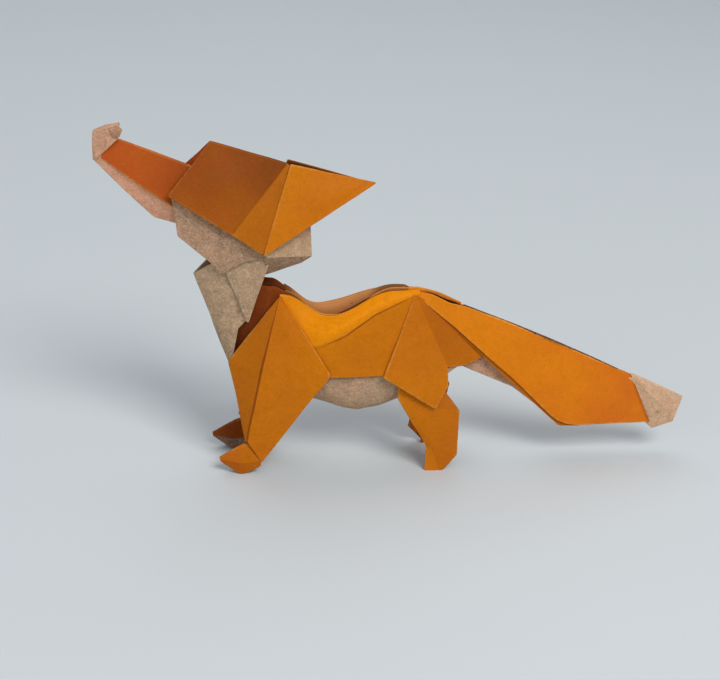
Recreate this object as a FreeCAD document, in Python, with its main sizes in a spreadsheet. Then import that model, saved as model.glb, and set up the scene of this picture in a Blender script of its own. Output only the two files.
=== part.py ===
import FreeCAD, Part
import math
import os
from FreeCAD import Vector

"""Origami fox, folded from one sheet of two-coloured paper.

The fox stands on the ground plane, nose toward -X and tail toward +X. Its near side is -Y.
The origin lies on the ground, halfway between the tip of the nose and the tip of the tail.

Each run of the folded sheet is drawn as flat panels hinged along shared creases, and then
thickened evenly to both sides. A sharp fold has a narrow strip between its two panels, which is
the back of the pressed fold. The runs overlap as the layers of the sheet do, and are fused.
"""

# ---------------------------------------------------------------------------
# Driving dimensions: name, value (mm or degrees), meaning.
# "half" values are measured from the middle plane to one side.
# ---------------------------------------------------------------------------
SIZES = [
    ("sheet_thickness", 0.45, "pressed paper, a few plies deep"),
    ("fold_width", 0.6, "back of a sharp pressed fold"),
    ("layer_gap", 0.75, "step from one layer to the one under it"),
    ("overlap", 1.4, "how far a layer runs on under the next"),
    # Torso
    ("shoulder_x", -29.5, "top of the shoulders"),
    ("shoulder_height", 45.6, "back at the shoulders"),
    ("shoulder_bulge", 2.0, "outward swell of the flank at the shoulder"),
    ("torso_front_x", -29.8, "open front end of the torso"),
    ("dip_x", -18.2, "lowest point of the back"),
    ("dip_height", 40.3, "back at its lowest point"),
    ("hip_x", -1.0, "back becomes level"),
    ("hip_height", 45.6, "back at the hips"),
    ("torso_rear_x", 4.4, "rear end of the torso"),
    ("groove_half_neck", 3.3, "groove of the back at the neck"),
    ("groove_half_pinch", 1.7, "groove where the shoulders pinch it"),
    ("groove_half_dip", 4.4, "groove at its widest"),
    ("groove_half_hip", 1.4, "groove at the hips"),
    ("pinch_x", -24.5, "place of the pinch"),
    ("groove_slope", 32.0, "slope of the groove's walls, degrees"),
    ("flank_half", 9.0, "lower edge of the flanks"),
    ("flank_height", 26.2, "lower edge of the flanks"),
    ("flank_crease_x", -20.3, "front end of the flank crease"),
    ("flank_crease_height", 33.2, "front end of the flank crease"),
    ("flank_crease_half", 7.3, "front end of the flank crease"),
    ("chest_half", 6.0, "flanks at the open front"),
    ("rump_half", 7.2, "flanks at the rear end"),
    ("flank_front_x", -17.0, "flanks start to narrow forward"),
    ("flank_rear_x", -5.0, "flanks start to narrow rearward"),
    ("belly_x", -9.6, "lowest point of the belly"),
    ("belly_height", 13.0, "belly at its lowest point"),
    ("belly_front_height", 20.7, "belly at the open front end"),
    ("belly_rear_height", 18.3, "belly at the rear end"),
    # Foreleg
    ("shoulder_half", 4.3, "apex of the shoulder flap"),
    ("breast_x", -41.8, "front corner of the shoulder flap"),
    ("breast_height", 28.8, "front corner of the shoulder flap"),
    ("breast_half", 4.3, "front corner of the shoulder flap"),
    ("elbow_x", -17.0, "rear corner of the shoulder flap"),
    ("elbow_height", 27.0, "rear corner of the shoulder flap"),
    ("elbow_half", 9.7, "rear corner of the shoulder flap"),
    ("armpit_x", -22.2, "where the leg leaves the belly"),
    ("armpit_height", 19.8, "where the leg leaves the belly"),
    ("fore_ankle_x", -37.3, "crease of the foreleg ends here"),
    ("fore_ankle_height", 9.0, "crease of the foreleg ends here"),
    ("fore_heel_x", -33.6, "back of the forepaw"),
    ("fore_heel_height", 3.0, "back of the forepaw"),
    ("fore_track_half", 8.3, "foreleg at its heel"),
    ("paw_toe_x", -43.8, "tip of the forepaw"),
    ("paw_toe_height", 3.6, "tip of the forepaw"),
    ("paw_front_x", -38.8, "front end of the forepaw's sole"),
    ("paw_rear_x", -35.2, "rear end of the forepaw's sole"),
    ("paw_spread", 2.6, "inner and outer face of the paw at the ground"),
    ("far_fore_step", -1.6, "far forepaw placed this far ahead of the near one"),
    # Haunch and hind leg
    ("haunch_x", 3.7, "apex of the haunch"),
    ("haunch_height", 44.7, "apex of the haunch"),
    ("haunch_half", 1.9, "apex of the haunch"),
    ("stifle_x", -4.1, "front corner of the haunch"),
    ("stifle_height", 26.3, "front corner of the haunch"),
    ("stifle_half", 9.7, "front corner of the haunch"),
    ("haunch_low_x", 8.6, "lowest corner of the haunch"),
    ("haunch_low_height", 17.9, "lowest corner of the haunch"),
    ("haunch_low_half", 9.4, "lowest corner of the haunch"),
    ("haunch_rear_x", 12.2, "rear edge of the haunch"),
    ("haunch_rear_height", 22.6, "foot of the haunch's rear edge"),
    ("seat_height", 27.2, "top of the haunch's rear edge"),
    ("butt_x", 21.0, "rear tip of the haunch, under the tail"),
    ("butt_height", 28.3, "rear tip of the haunch"),
    ("butt_low_x", 16.0, "lower corner of the rear facet"),
    ("butt_low_height", 25.6, "lower corner of the rear facet"),
    ("butt_half", 1.8, "rear tip of the haunch"),
    ("knee_x", -0.2, "front edge of the shin at the haunch"),
    ("knee_height", 19.7, "front edge of the shin turns back here"),
    ("shin_half", 8.3, "outer face of the shin"),
    ("shin_spread", 1.6, "outer to inner face of the shin, at its open front"),
    ("hock_x", 15.2, "hock"),
    ("hock_height", 16.3, "hock"),
    ("hock_top_x", 11.6, "upper end of the hock's slope"),
    ("hock_top_height", 19.9, "upper end of the hock's slope"),
    ("hind_ankle_x", 7.6, "front of the hind ankle"),
    ("hind_ankle_height", 6.8, "front of the hind ankle"),
    ("hind_toe_x", 7.3, "front end of the hind sole"),
    ("hind_sole_x", 11.9, "rear end of the hind sole"),
    ("hind_heel_height", 4.2, "back of the hind foot"),
    ("far_toe_height", 4.2, "toe of the far hind foot, which stands on its ball"),
    ("far_ball_x", 12.3, "front end of the far hind foot's sole, before its step"),
    ("far_sole_x", 15.0, "rear end of the far hind foot's sole, before its step"),
    ("far_hind_step", -3.4, "far hind foot placed this far ahead of the near one"),
    # Tail, in its own frame: along the ridge from the root, and down square to it
    ("tail_x", 6.0, "root of the tail"),
    ("tail_height", 45.3, "root of the tail"),
    ("tail_slope", 23.5, "fall of the tail's ridge, degrees"),
    ("tail_arch", 0.9, "rise of the ridge above a straight line"),
    ("tail_length", 58.6, "root to the colour change"),
    ("tail_tip_length", 16.0, "colour change to the tip"),
    ("tail_tip_depth", 7.0, "blunt end of the tip"),
    ("tail_end_along", 70.0, "lower end of the colour change"),
    ("tail_end_depth", 10.0, "lower end of the colour change"),
    ("tail_belly_along", 48.2, "deepest point of the tail"),
    ("tail_belly_depth", 18.4, "deepest point of the tail"),
    ("tail_mid_along", 20.0, "lower edge, where it passes the haunch"),
    ("tail_mid_depth", 7.9, "lower edge, where it passes the haunch"),
    ("tail_half", 3.0, "lower edges of the tail"),
    ("tail_end_half", 1.7, "lower edges at the colour change"),
    ("tail_hem", 3.2, "width of the turned-in lower edge"),
    ("tail_core_start", 15.0, "pale middle layer under the tail's root"),
    ("tail_core_depth", 14.4, "pale middle layer, front half"),
    ("tail_core_bend", 32.3, "pale middle layer turns down here"),
    # Neck and breast
    ("keel_top_x", -49.8, "top of the breast's keel"),
    ("keel_top_height", 50.4, "top of the breast's keel"),
    ("keel_low_x", -41.6, "foot of the breast's keel"),
    ("keel_low_height", 26.8, "foot of the breast's keel"),
    ("neck_half", 4.0, "sides of the neck"),
    ("neck_rear_x", -32.0, "back of the neck, under the cheek"),
    ("nape_x", -33.4, "foot of the neck's back"),
    ("nape_height", 48.4, "foot of the neck's back"),
    ("withers_x", -30.3, "rear end of the hollow's top"),
    ("withers_height", 48.0, "rear end of the hollow's top"),
    ("neck_rim_x", -45.0, "rim of the breast, under the cheek"),
    ("neck_rim_rise", 4.1, "rim of the breast above the top of its keel"),
    ("breast_step_x", -39.4, "step in the breast's rear edge"),
    ("breast_step_height", 37.6, "step in the breast's rear edge"),
    ("throat_flap_x", -37.1, "tip of the throat flap"),
    ("throat_flap_height", 39.5, "tip of the throat flap"),
    ("throat_flap_half", 5.0, "tip of the throat flap"),
    ("throat_flap_rear_x", -31.7, "rear corner of the throat flap"),
    ("throat_flap_rear_height", 55.5, "rear corner of the throat flap"),
    # Head, in its own frame: forward along the crown from its back end, and down square to it
    ("crown_x", -27.9, "back end of the crown"),
    ("crown_height", 77.8, "back end of the crown"),
    ("head_tilt", 16.6, "nose-up tilt of the head, degrees"),
    ("crown_length", 18.9, "crown to brow"),
    ("hood_corner_along", 25.1, "front corner of the hood"),
    ("hood_corner_depth", 13.7, "front corner of the hood"),
    ("hood_corner_half", 6.0, "front corner of the hood"),
    ("temple_along", 8.3, "lower edge of the hood at the ear crease"),
    ("temple_depth", 18.25, "lower edge of the hood at the ear crease"),
    ("jowl_along", -0.7, "lowest corner of the ear"),
    ("jowl_depth", 21.0, "lowest corner of the ear"),
    ("jowl_half", 7.9, "lowest corner of the ear"),
    ("ear_length", 21.5, "crown to the tip of the ear"),
    ("ear_rise", 1.6, "tip of the ear above the line of the crown"),
    ("ear_tip_half", 0.9, "tips of the ears from the middle"),
    ("cheek_front_along", 19.8, "front corner of the cheek"),
    ("cheek_front_depth", 23.8, "front corner of the cheek"),
    ("cheek_low_along", 7.4, "lowest point of the cheek"),
    ("cheek_low_depth", 29.3, "lowest point of the cheek"),
    ("cheek_rear_along", 1.6, "rear corner of the cheek"),
    ("cheek_rear_depth", 26.0, "rear corner of the cheek"),
    ("cheek_half", 2.2, "cheeks at their front corner"),
    ("cheek_low_half", 4.7, "cheeks at their lowest point, clear of the neck"),
    ("ruff_tip_along", -12.6, "rear tip of the ruff"),
    ("ruff_tip_depth", 20.4, "rear tip of the ruff"),
    ("ruff_top_along", -9.8, "top of the ruff, under the ear"),
    ("ruff_top_depth", 12.6, "top of the ruff, under the ear"),
    ("ruff_low_along", -3.2, "lower corner of the ruff"),
    ("ruff_low_depth", 27.4, "lower corner of the ruff"),
    # Snout and nose
    ("snout_root_along", 22.0, "snout's root inside the hood"),
    ("snout_root_drop", 7.0, "ridge of the snout at its root"),
    ("snout_root_depth", 10.0, "ridge to lower edge at the root"),
    ("snout_root_half", 4.3, "lower edges at the root"),
    ("snout_tip_along", 42.0, "front of the snout"),
    ("snout_tip_drop", 5.3, "ridge of the snout at its tip"),
    ("snout_tip_depth", 5.5, "ridge to lower edge at the tip"),
    ("snout_tip_half", 1.0, "lower edges at the tip"),
    ("chin_along", 26.2, "lowest point of the jaw"),
    ("chin_depth", 20.9, "lowest point of the jaw"),
    ("jaw_root_depth", 20.9, "keel of the jaw at its root"),
    ("nose_low_along", 43.5, "lower corner of the nose cap"),
    ("nose_low_depth", 11.8, "lower corner of the nose cap"),
    ("nose_front_along", 45.4, "front of the nose cap"),
    ("nose_front_depth", 5.2, "front of the nose cap"),
    ("nose_top_along", 43.1, "top of the nose cap"),
    ("nose_top_depth", 3.6, "top of the nose cap"),
    ("nose_back_along", 40.2, "rear corner of the nose cap"),
    ("nose_back_depth", 1.9, "rear corner of the nose cap"),
    ("nose_half", 2.1, "sides of the nose cap"),
    ("nose_front_half", 0.6, "front of the nose cap"),
    # Level ground
    ("ground_side", 400.0, "block that trims the soles level"),
]

doc = FreeCAD.newDocument("OrigamiFox")
sizes = doc.addObject("Spreadsheet::Sheet", "Sizes")
for row, (alias, value, meaning) in enumerate(SIZES, start=1):
    sizes.set("A%d" % row, alias)
    sizes.set("B%d" % row, str(value))
    sizes.set("C%d" % row, meaning)
    sizes.setAlias("B%d" % row, alias)
doc.recompute()


def size(alias):
    """Value of one driving dimension, read from the sheet."""
    return float(sizes.get(alias))


def blend(start, end, share):
    """Straight-line value between start and end."""
    return start + (end - start) * share


def ease(share):
    """Smooth step from 0 to 1 with level ends."""
    share = min(max(share, 0.0), 1.0)
    return (1.0 - math.cos(math.pi * share)) / 2.0


# ---------------------------------------------------------------------------
# The folded sheet
# ---------------------------------------------------------------------------
class FoldedSheet:
    """Flat panels hinged along shared creases, thickened evenly to both sides."""

    def __init__(self, thickness):
        self.half = thickness / 2.0
        self.corners = []
        self.numbers = {}
        self.panels = []

    def number(self, corner):
        """Number of a corner; panels that name the same place share it."""
        key = (round(corner.x, 5), round(corner.y, 5), round(corner.z, 5))
        if key not in self.numbers:
            self.numbers[key] = len(self.corners)
            self.corners.append(corner)
        return self.numbers[key]

    def panel(self, *corners):
        """Add one panel. The first corner sees all the others, so it fans out into triangles."""
        loop = []
        for corner in corners:
            number = self.number(corner)
            if number not in loop:
                loop.append(number)
        self.panels.append(loop)

    def strip(self, first, second):
        """Add the row of panels between two lines of corners."""
        for k in range(len(first) - 1):
            self.panel(first[k], first[k + 1], second[k + 1], second[k])

    def mirror(self):
        """Add the far half: the same panels on the other side of the middle plane."""
        for loop in list(self.panels):
            near = [self.corners[n] for n in loop[:1] + loop[:0:-1]]
            self.panel(*[Vector(c.x, -c.y, c.z) for c in near])

    def edges(self):
        """Directed edges of all panels, with the panels that own them."""
        owners = {}
        for number, loop in enumerate(self.panels):
            for k in range(len(loop)):
                owners.setdefault((loop[k - 1], loop[k]), []).append(number)
        return owners

    def turn_panels_alike(self):
        """Turn panels over until neighbours run their shared crease in opposite directions."""
        neighbours = {}
        for (a, b), found in self.edges().items():
            neighbours.setdefault((min(a, b), max(a, b)), []).extend(found)
        settled = set()
        for start in range(len(self.panels)):
            if start in settled:
                continue
            settled.add(start)
            waiting = [start]
            while waiting:
                here = waiting.pop()
                loop = self.panels[here]
                for k in range(len(loop)):
                    a, b = loop[k - 1], loop[k]
                    for other in neighbours[(min(a, b), max(a, b))]:
                        if other in settled:
                            continue
                        ring = self.panels[other]
                        if any((ring[j - 1], ring[j]) == (a, b) for j in range(len(ring))):
                            ring[1:] = ring[:0:-1]
                        settled.add(other)
                        waiting.append(other)

    def normal(self, loop):
        """Unit normal of a panel, from the sum of its edge cross products."""
        total = Vector(0, 0, 0)
        for k in range(len(loop)):
            total += self.corners[loop[k - 1]].cross(self.corners[loop[k]])
        return total.normalize()

    def offsets(self):
        """Step from each corner to the outer face, half a thickness off all its panels."""
        around = {}
        for loop in self.panels:
            normal = self.normal(loop)
            for number in loop:
                around.setdefault(number, []).append(normal)
        steps = {}
        for number, normals in around.items():
            steps[number] = nearest_step(normals, self.half)
        return steps

    def solid(self):
        """One closed solid: both faces of the sheet, and its cut edges."""
        self.turn_panels_alike()
        steps = self.offsets()
        outer = {n: self.corners[n] + step for n, step in steps.items()}
        inner = {n: self.corners[n] - step for n, step in steps.items()}
        faces = []
        for loop in self.panels:
            for k in range(1, len(loop) - 1):
                faces.append(triangle(outer[loop[0]], outer[loop[k]], outer[loop[k + 1]]))
                faces.append(triangle(inner[loop[0]], inner[loop[k + 1]], inner[loop[k]]))
        owners = self.edges()
        for a, b in owners:
            if (b, a) not in owners:
                faces.append(triangle(outer[b], outer[a], inner[a]))
                faces.append(triangle(outer[b], inner[a], inner[b]))
        shape = Part.Solid(Part.Shell(faces))
        if shape.Volume < 0:
            shape.reverse()
        return shape.removeSplitter()


def triangle(a, b, c):
    """Triangular face."""
    return Part.Face(Part.makePolygon([a, b, c, a]))


def nearest_step(normals, distance):
    """Shortest step whose height over every panel is as near to the distance as it can be.

    Solves the normal equations of step . normal = distance by Cramer's rule, with a trace of
    damping that keeps the step square to the panels where they do not fix it.
    """
    damping = 1e-3
    rows = [[damping if i == j else 0.0 for j in range(3)] for i in range(3)]
    right = [0.0, 0.0, 0.0]
    for normal in normals:
        for i in range(3):
            right[i] += normal[i] * distance
            for j in range(3):
                rows[i][j] += normal[i] * normal[j]
    columns = [Vector(rows[0][j], rows[1][j], rows[2][j]) for j in range(3)]
    target = Vector(*right)
    whole = columns[0].dot(columns[1].cross(columns[2]))
    return Vector(
        target.dot(columns[1].cross(columns[2])) / whole,
        columns[0].dot(target.cross(columns[2])) / whole,
        columns[0].dot(columns[1].cross(target)) / whole,
    )


# ---------------------------------------------------------------------------
# Places on the fox
# ---------------------------------------------------------------------------
NEAR = -1.0
FAR = 1.0


class Frame:
    """A tilted frame in the middle plane: along its line, out to one side, and down."""

    def __init__(self, x, height, heading, slope):
        self.origin = (x, height)
        angle = math.radians(slope)
        self.along = (heading * math.cos(angle), math.sin(angle))
        self.down = (heading * math.sin(angle), -math.cos(angle))

    def at(self, along, out, down):
        """Corner on the near side, in the fox's own axes."""
        x = self.origin[0] + along * self.along[0] + down * self.down[0]
        z = self.origin[1] + along * self.along[1] + down * self.down[1]
        return Vector(x, NEAR * out, z)


HEAD = Frame(size("crown_x"), size("crown_height"), -1, size("head_tilt"))
TAIL = Frame(size("tail_x"), size("tail_height"), 1, -size("tail_slope"))

RIDGE = size("fold_width") / 2.0
GAP = size("layer_gap")
LAP = size("overlap")


def sheet():
    """An empty run of the folded sheet."""
    return FoldedSheet(size("sheet_thickness"))


def facet_out(first, second, third):
    """Distance out from the middle plane as a function of x and z, on the plane of 3 corners."""
    normal = (second - first).cross(third - first)

    def out(x, z):
        lean = normal.x * (x - first.x) + normal.z * (z - first.z)
        return abs(first.y - lean / normal.y)

    return out


# ---------------------------------------------------------------------------
# Torso: back groove, flanks and belly, one closed run with open ends
# ---------------------------------------------------------------------------
def back_height(x):
    """Height of the back's two edges: a smooth dip between shoulders and hips."""
    dip = size("dip_x")
    if x < dip:
        share = ease((dip - x) / (dip - size("shoulder_x")))
        return blend(size("dip_height"), size("shoulder_height"), share)
    share = ease((x - dip) / (size("hip_x") - dip))
    return blend(size("dip_height"), size("hip_height"), share)


def groove_half(x):
    """Half width of the groove along the back: open, pinched, open and closing at the hips."""
    pinch = size("pinch_x")
    dip = size("dip_x")
    if x < pinch:
        share = ease((pinch - x) / (pinch - size("torso_front_x")))
        return blend(size("groove_half_pinch"), size("groove_half_neck"), share)
    if x < dip:
        share = ease((x - pinch) / (dip - pinch))
        return blend(size("groove_half_pinch"), size("groove_half_dip"), share)
    share = ease((x - dip) / (size("hip_x") - dip))
    return blend(size("groove_half_dip"), size("groove_half_hip"), share)


def flank_half(x):
    """Half width at the lower edge of the flanks, narrowing toward both ends."""
    front = size("flank_front_x")
    rear = size("flank_rear_x")
    if x < front:
        share = (front - x) / (front - size("torso_front_x"))
        return blend(size("flank_half"), size("chest_half"), share)
    if x > rear:
        share = (x - rear) / (size("torso_rear_x") - rear)
        return blend(size("flank_half"), size("rump_half"), share)
    return size("flank_half")


def flank_crease(x):
    """Half width and height of the crease that runs up the flank to the haunch."""
    share = (x - size("flank_crease_x")) / (size("haunch_x") - size("flank_crease_x"))
    height = blend(size("flank_crease_height"), size("haunch_height"), share)
    half = blend(size("flank_crease_half"), size("haunch_half"), share)
    if share < 0:
        half = size("flank_crease_half") - (size("flank_half") - flank_half(x))
    height = max(height, size("flank_height") + LAP)
    height = min(height, back_height(x) - LAP)
    return max(half, groove_half(x) + RIDGE), height


def belly_height(x):
    """Height of the keel line, which rises straight from its lowest point to both ends."""
    lowest = size("belly_x")
    if x < lowest:
        share = (lowest - x) / (lowest - size("torso_front_x"))
        return blend(size("belly_height"), size("belly_front_height"), share)
    share = (x - lowest) / (size("torso_rear_x") - lowest)
    return blend(size("belly_height"), size("belly_rear_height"), share)


def under_flaps(x, half, height):
    """Half width that keeps a flank corner under the shoulder flap and the haunch."""
    apex, elbow, _ = shoulder_corners()
    if height < blend(apex.z, elbow.z, (x - apex.x) / (elbow.x - apex.x)) and x < elbow.x:
        half = min(half, facet_out(*shoulder_corners())(x, height) - GAP)
    apex, stifle, low = haunch_corners()
    if x > blend(apex.x, stifle.x, (apex.z - height) / (apex.z - stifle.z)):
        half = min(half, facet_out(apex, stifle, low)(x, height) - GAP)
    return max(half, groove_half(x) + RIDGE)


def torso_ring(x):
    """Corners of the torso's section at x, from the groove's floor down to the keel."""
    slope = math.tan(math.radians(size("groove_slope")))
    back = back_height(x)
    edge = groove_half(x)
    crease_half, crease = flank_crease(x)
    forward = (size("dip_x") - x) / (size("dip_x") - size("shoulder_x"))
    swell = size("shoulder_bulge") * ease(forward)
    swell_share = 0.36
    swell_height = blend(back, crease, swell_share)
    swell_half = under_flaps(x, blend(edge, crease_half, swell_share) + swell, swell_height)
    crease_half = under_flaps(x, crease_half, crease)
    floor = size("flank_height")
    low = under_flaps(x, flank_half(x), floor)
    tuck = low - GAP
    keel = belly_height(x)
    ring = [
        Vector(x, 0, back - edge * slope),
        Vector(x, NEAR * edge, back),
        Vector(x, NEAR * swell_half, swell_height),
        Vector(x, NEAR * crease_half, crease),
        Vector(x, NEAR * low, floor),
    ]
    quarter = math.pi / 2
    for k in range(3):
        turn = quarter * k / 3
        ring.append(Vector(x, NEAR * tuck * math.cos(turn), floor - (floor - keel) * math.sin(turn)))
    ring.append(Vector(x, 0, keel))
    return ring


def torso():
    """The body tube: its panels run in steps from the open front to the rump."""
    run = sheet()
    count = 13
    front = size("torso_front_x")
    rear = size("torso_rear_x")
    rings = [torso_ring(blend(front, rear, k / (count - 1))) for k in range(count)]
    for first, second in zip(rings[:-1], rings[1:]):
        run.strip(first, second)
    run.mirror()
    return run.solid()


# ---------------------------------------------------------------------------
# Forelegs
# ---------------------------------------------------------------------------
def shoulder_corners():
    """Three corners that set the plane of the near shoulder flap: apex, elbow and heel."""
    apex = Vector(size("shoulder_x"), -size("shoulder_half"), size("shoulder_height"))
    elbow = Vector(size("elbow_x"), -size("elbow_half"), size("elbow_height"))
    heel = Vector(size("fore_heel_x"), -size("fore_track_half"), size("fore_heel_height"))
    return apex, elbow, heel


def foreleg(side, step):
    """Shoulder flap, leg and paw of one side; step moves the paw along X."""

    def corner(x, out, z):
        reach = min(max(z / size("breast_height"), 0.0), 1.0)
        return Vector(x + step * (1 - reach), side * out, z)

    apex, elbow, heel = shoulder_corners()
    out = facet_out(apex, elbow, heel)

    def outer(x, z):
        return corner(x, out(x, z), z)

    ankle_place = (size("fore_ankle_x"), size("fore_ankle_height"))
    ankle = outer(*ankle_place)
    top = outer(apex.x, apex.z)
    rear_edge = [
        outer(elbow.x, elbow.z),
        outer(size("armpit_x"), size("armpit_height")),
        outer(heel.x, heel.z),
    ]
    breast = corner(size("breast_x"), size("breast_half"), size("breast_height"))

    leg = sheet()
    leg.panel(top, *(rear_edge + [ankle]))
    leg.panel(top, ankle, breast)
    tucked = [Vector(c.x, c.y - side * GAP, c.z) for c in rear_edge]
    leg.strip(rear_edge, tucked)
    inner = out(*ankle_place) - GAP
    armpit_x = blend(size("armpit_x"), ankle_place[0], 0.5)
    cuff = (blend(heel.x, ankle_place[0], 0.6), blend(heel.z, ankle_place[1], 0.6))
    lining = [
        corner(blend(elbow.x, apex.x, 0.35), out(elbow.x, elbow.z) - 3 * GAP, elbow.z + LAP),
        corner(armpit_x, inner, size("armpit_height")),
        corner(cuff[0], inner, cuff[1]),
    ]
    leg.strip(tucked, lining)

    middle = size("fore_track_half") - size("paw_spread") / 2
    ground = -size("sheet_thickness")
    paw = sheet()
    tops = []
    for face in (1, -1):
        spread = face * size("paw_spread") / 2
        toe = corner(size("paw_toe_x"), middle + face * RIDGE, size("paw_toe_height"))
        instep = corner(ankle_place[0], middle + face * RIDGE, ankle_place[1] - LAP)
        heel_top = corner(heel.x, middle + face * RIDGE, heel.z + LAP)
        front_sole = corner(size("paw_front_x"), middle + spread, ground)
        rear_sole = corner(size("paw_rear_x"), middle + spread, ground)
        paw.panel(instep, toe, front_sole, rear_sole, heel_top)
        tops.append([toe, instep, heel_top])
    paw.strip(tops[0], tops[1])
    return leg.solid(), paw.solid()


# ---------------------------------------------------------------------------
# Haunches and hind legs
# ---------------------------------------------------------------------------
def haunch_corners():
    """Three corners that set the plane of the near haunch: apex, stifle and lowest corner."""
    apex = Vector(size("haunch_x"), -size("haunch_half"), size("haunch_height"))
    stifle = Vector(size("stifle_x"), -size("stifle_half"), size("stifle_height"))
    low = Vector(size("haunch_low_x"), -size("haunch_low_half"), size("haunch_low_height"))
    return apex, stifle, low


def haunch(side):
    """Outer haunch, its turned-in lower edge and the facet that runs back under the tail."""

    def place(corner, inward=0.0):
        return Vector(corner.x, side * (abs(corner.y) - inward), corner.z)

    apex, stifle, low = haunch_corners()
    out = facet_out(apex, stifle, low)
    rear_x = size("haunch_rear_x")
    rear = Vector(rear_x, -out(rear_x, size("haunch_rear_height")), size("haunch_rear_height"))
    seat = Vector(rear_x, -out(rear_x, size("seat_height")), size("seat_height"))
    run = sheet()
    run.panel(place(apex), place(stifle), place(low), place(rear), place(seat))
    butt_low = Vector(size("butt_low_x"), side * (size("butt_half") + GAP), size("butt_low_height"))
    butt = Vector(size("butt_x"), side * size("butt_half"), size("butt_height"))
    inside = side * (size("butt_half") - 1.6 * GAP)
    butt_top = Vector(butt.x + LAP, inside, butt.z + 2 * LAP)
    under_tail = Vector(blend(apex.x, butt.x, 0.5), inside, blend(apex.z, butt.z, 0.5) + 2 * LAP)
    run.panel(place(seat), butt_low, butt, butt_top, under_tail, place(apex))
    hem_front = Vector(stifle.x + 2 * LAP, 0, stifle.z + LAP)
    hem_rear = Vector(low.x - LAP, 0, low.z + 2 * LAP)
    hem = [Vector(c.x, side * (out(c.x, c.z) - 2 * GAP), c.z) for c in (hem_front, hem_rear)]
    folded = [place(stifle, GAP), place(low, GAP)]
    run.strip([place(stifle), place(low)], folded)
    run.strip(folded, hem)
    return run.solid()


def hindleg(side, step):
    """Shin and hind foot of one side; step moves the foot along X."""
    half = size("shin_half")
    hock_z = size("hock_height")
    ground = -size("sheet_thickness")

    def corner(x, z, out=half):
        reach = min(max(z / hock_z, 0.0), 1.0)
        return Vector(x + step * (1 - reach), side * out, z)

    under = facet_out(*haunch_corners())
    top = size("flank_height") + LAP
    knee_top = corner(size("knee_x"), top, under(size("knee_x"), top) - GAP)
    knee = corner(size("knee_x"), size("knee_height"))
    ankle = corner(size("hind_ankle_x"), size("hind_ankle_height"))
    toe = corner(size("hind_toe_x"), ground if side == NEAR else size("far_toe_height"))
    sole = corner(size("hind_sole_x" if side == NEAR else "far_sole_x"), ground)
    ball = [] if side == NEAR else [corner(size("far_ball_x"), ground)]
    heel = corner(size("hock_x"), size("hind_heel_height"))
    hock = corner(size("hock_x"), hock_z)
    fold = corner(size("haunch_low_x"), hock_z + LAP)
    inside_x = size("haunch_low_x") - 2 * LAP
    inside = corner(inside_x, top, under(inside_x, top) - GAP)

    shin = sheet()
    shin.panel(fold, knee_top, knee, ankle, toe, *ball, sole, heel, hock)
    hock_top = corner(size("hock_top_x"), size("hock_top_height"), half - 2 * GAP)
    shin.panel(fold, hock, hock_top)
    shin.panel(fold, hock_top, inside, knee_top)
    rear_edge = [hock, heel, sole]
    tucked = [Vector(c.x, c.y - side * GAP, c.z) for c in rear_edge]
    shin.strip(rear_edge, tucked)
    spread = half - size("shin_spread")
    lining = [
        corner(blend(size("knee_x"), size("hock_x"), 0.35), hock_z, spread),
        corner(size("hind_ankle_x") + GAP, size("hind_heel_height") + LAP, spread),
        corner(size("hind_toe_x" if side == NEAR else "far_ball_x") + GAP, ground, spread),
    ]
    shin.strip(tucked, lining)
    return shin.solid()


# ---------------------------------------------------------------------------
# Tail
# ---------------------------------------------------------------------------
def tail_ridge(along):
    """Fall of the tail's ridge below its straight line; it arches a little above it."""
    share = along / size("tail_length")
    return -4.0 * size("tail_arch") * share * (1.0 - share)


def tail():
    """Folded tail: a ridge, two hanging sides with turned-in edges, and the pale tip."""
    start = -LAP
    length = size("tail_length")
    tip_end = length + size("tail_tip_length")
    end_half = size("tail_end_half")
    bends = [start, size("tail_mid_along"), size("tail_belly_along"), length]
    ridge = [TAIL.at(along, RIDGE, tail_ridge(along)) for along in bends]
    lower = [
        TAIL.at(start, size("groove_half_hip"), 1.0),
        TAIL.at(size("tail_mid_along"), size("tail_half"), size("tail_mid_depth")),
        TAIL.at(size("tail_belly_along"), size("tail_half"), size("tail_belly_depth")),
        TAIL.at(size("tail_end_along"), end_half, size("tail_end_depth")),
    ]
    run = sheet()
    run.strip(ridge, lower)
    tip_top = TAIL.at(tip_end, RIDGE, RIDGE)
    tip_low = TAIL.at(tip_end + GAP, RIDGE, size("tail_tip_depth"))
    run.panel(ridge[-1], lower[-1], tip_low, tip_top)
    # Turned-in lower edge
    places = [
        (size("tail_mid_along"), size("tail_mid_depth")),
        (size("tail_belly_along"), size("tail_belly_depth")),
    ]
    half = size("tail_half")
    hem_fold = [TAIL.at(along, half - GAP, depth) for along, depth in places]
    hem_edge = [TAIL.at(along, half - 2 * GAP, depth - size("tail_hem")) for along, depth in places]
    run.strip(lower[1:3], hem_fold)
    run.strip(hem_fold, hem_edge)
    # Back of the ridge, joining both halves
    top = ridge + [tip_top]
    far = [Vector(c.x, -c.y, c.z) for c in top]
    run.mirror()
    run.strip(top, far)
    run.panel(tip_top, tip_low, Vector(tip_low.x, -tip_low.y, tip_low.z), far[-1])
    return run.solid()


def tail_core():
    """Pale middle layer of the tail: the sheet pressed double, hanging from the ridge."""
    start = size("tail_core_start")
    bend = size("tail_core_bend")
    end = size("tail_belly_along")
    depth = size("tail_core_depth")
    run = FoldedSheet(2 * size("sheet_thickness"))
    top = [TAIL.at(along, 0, tail_ridge(along) + 2 * GAP) for along in (start, bend, end)]
    low = [TAIL.at(along, 0, depth) for along in (start, bend)]
    low.append(TAIL.at(end, 0, size("tail_belly_depth") + GAP))
    run.strip(top, low)
    return run.solid()


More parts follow.
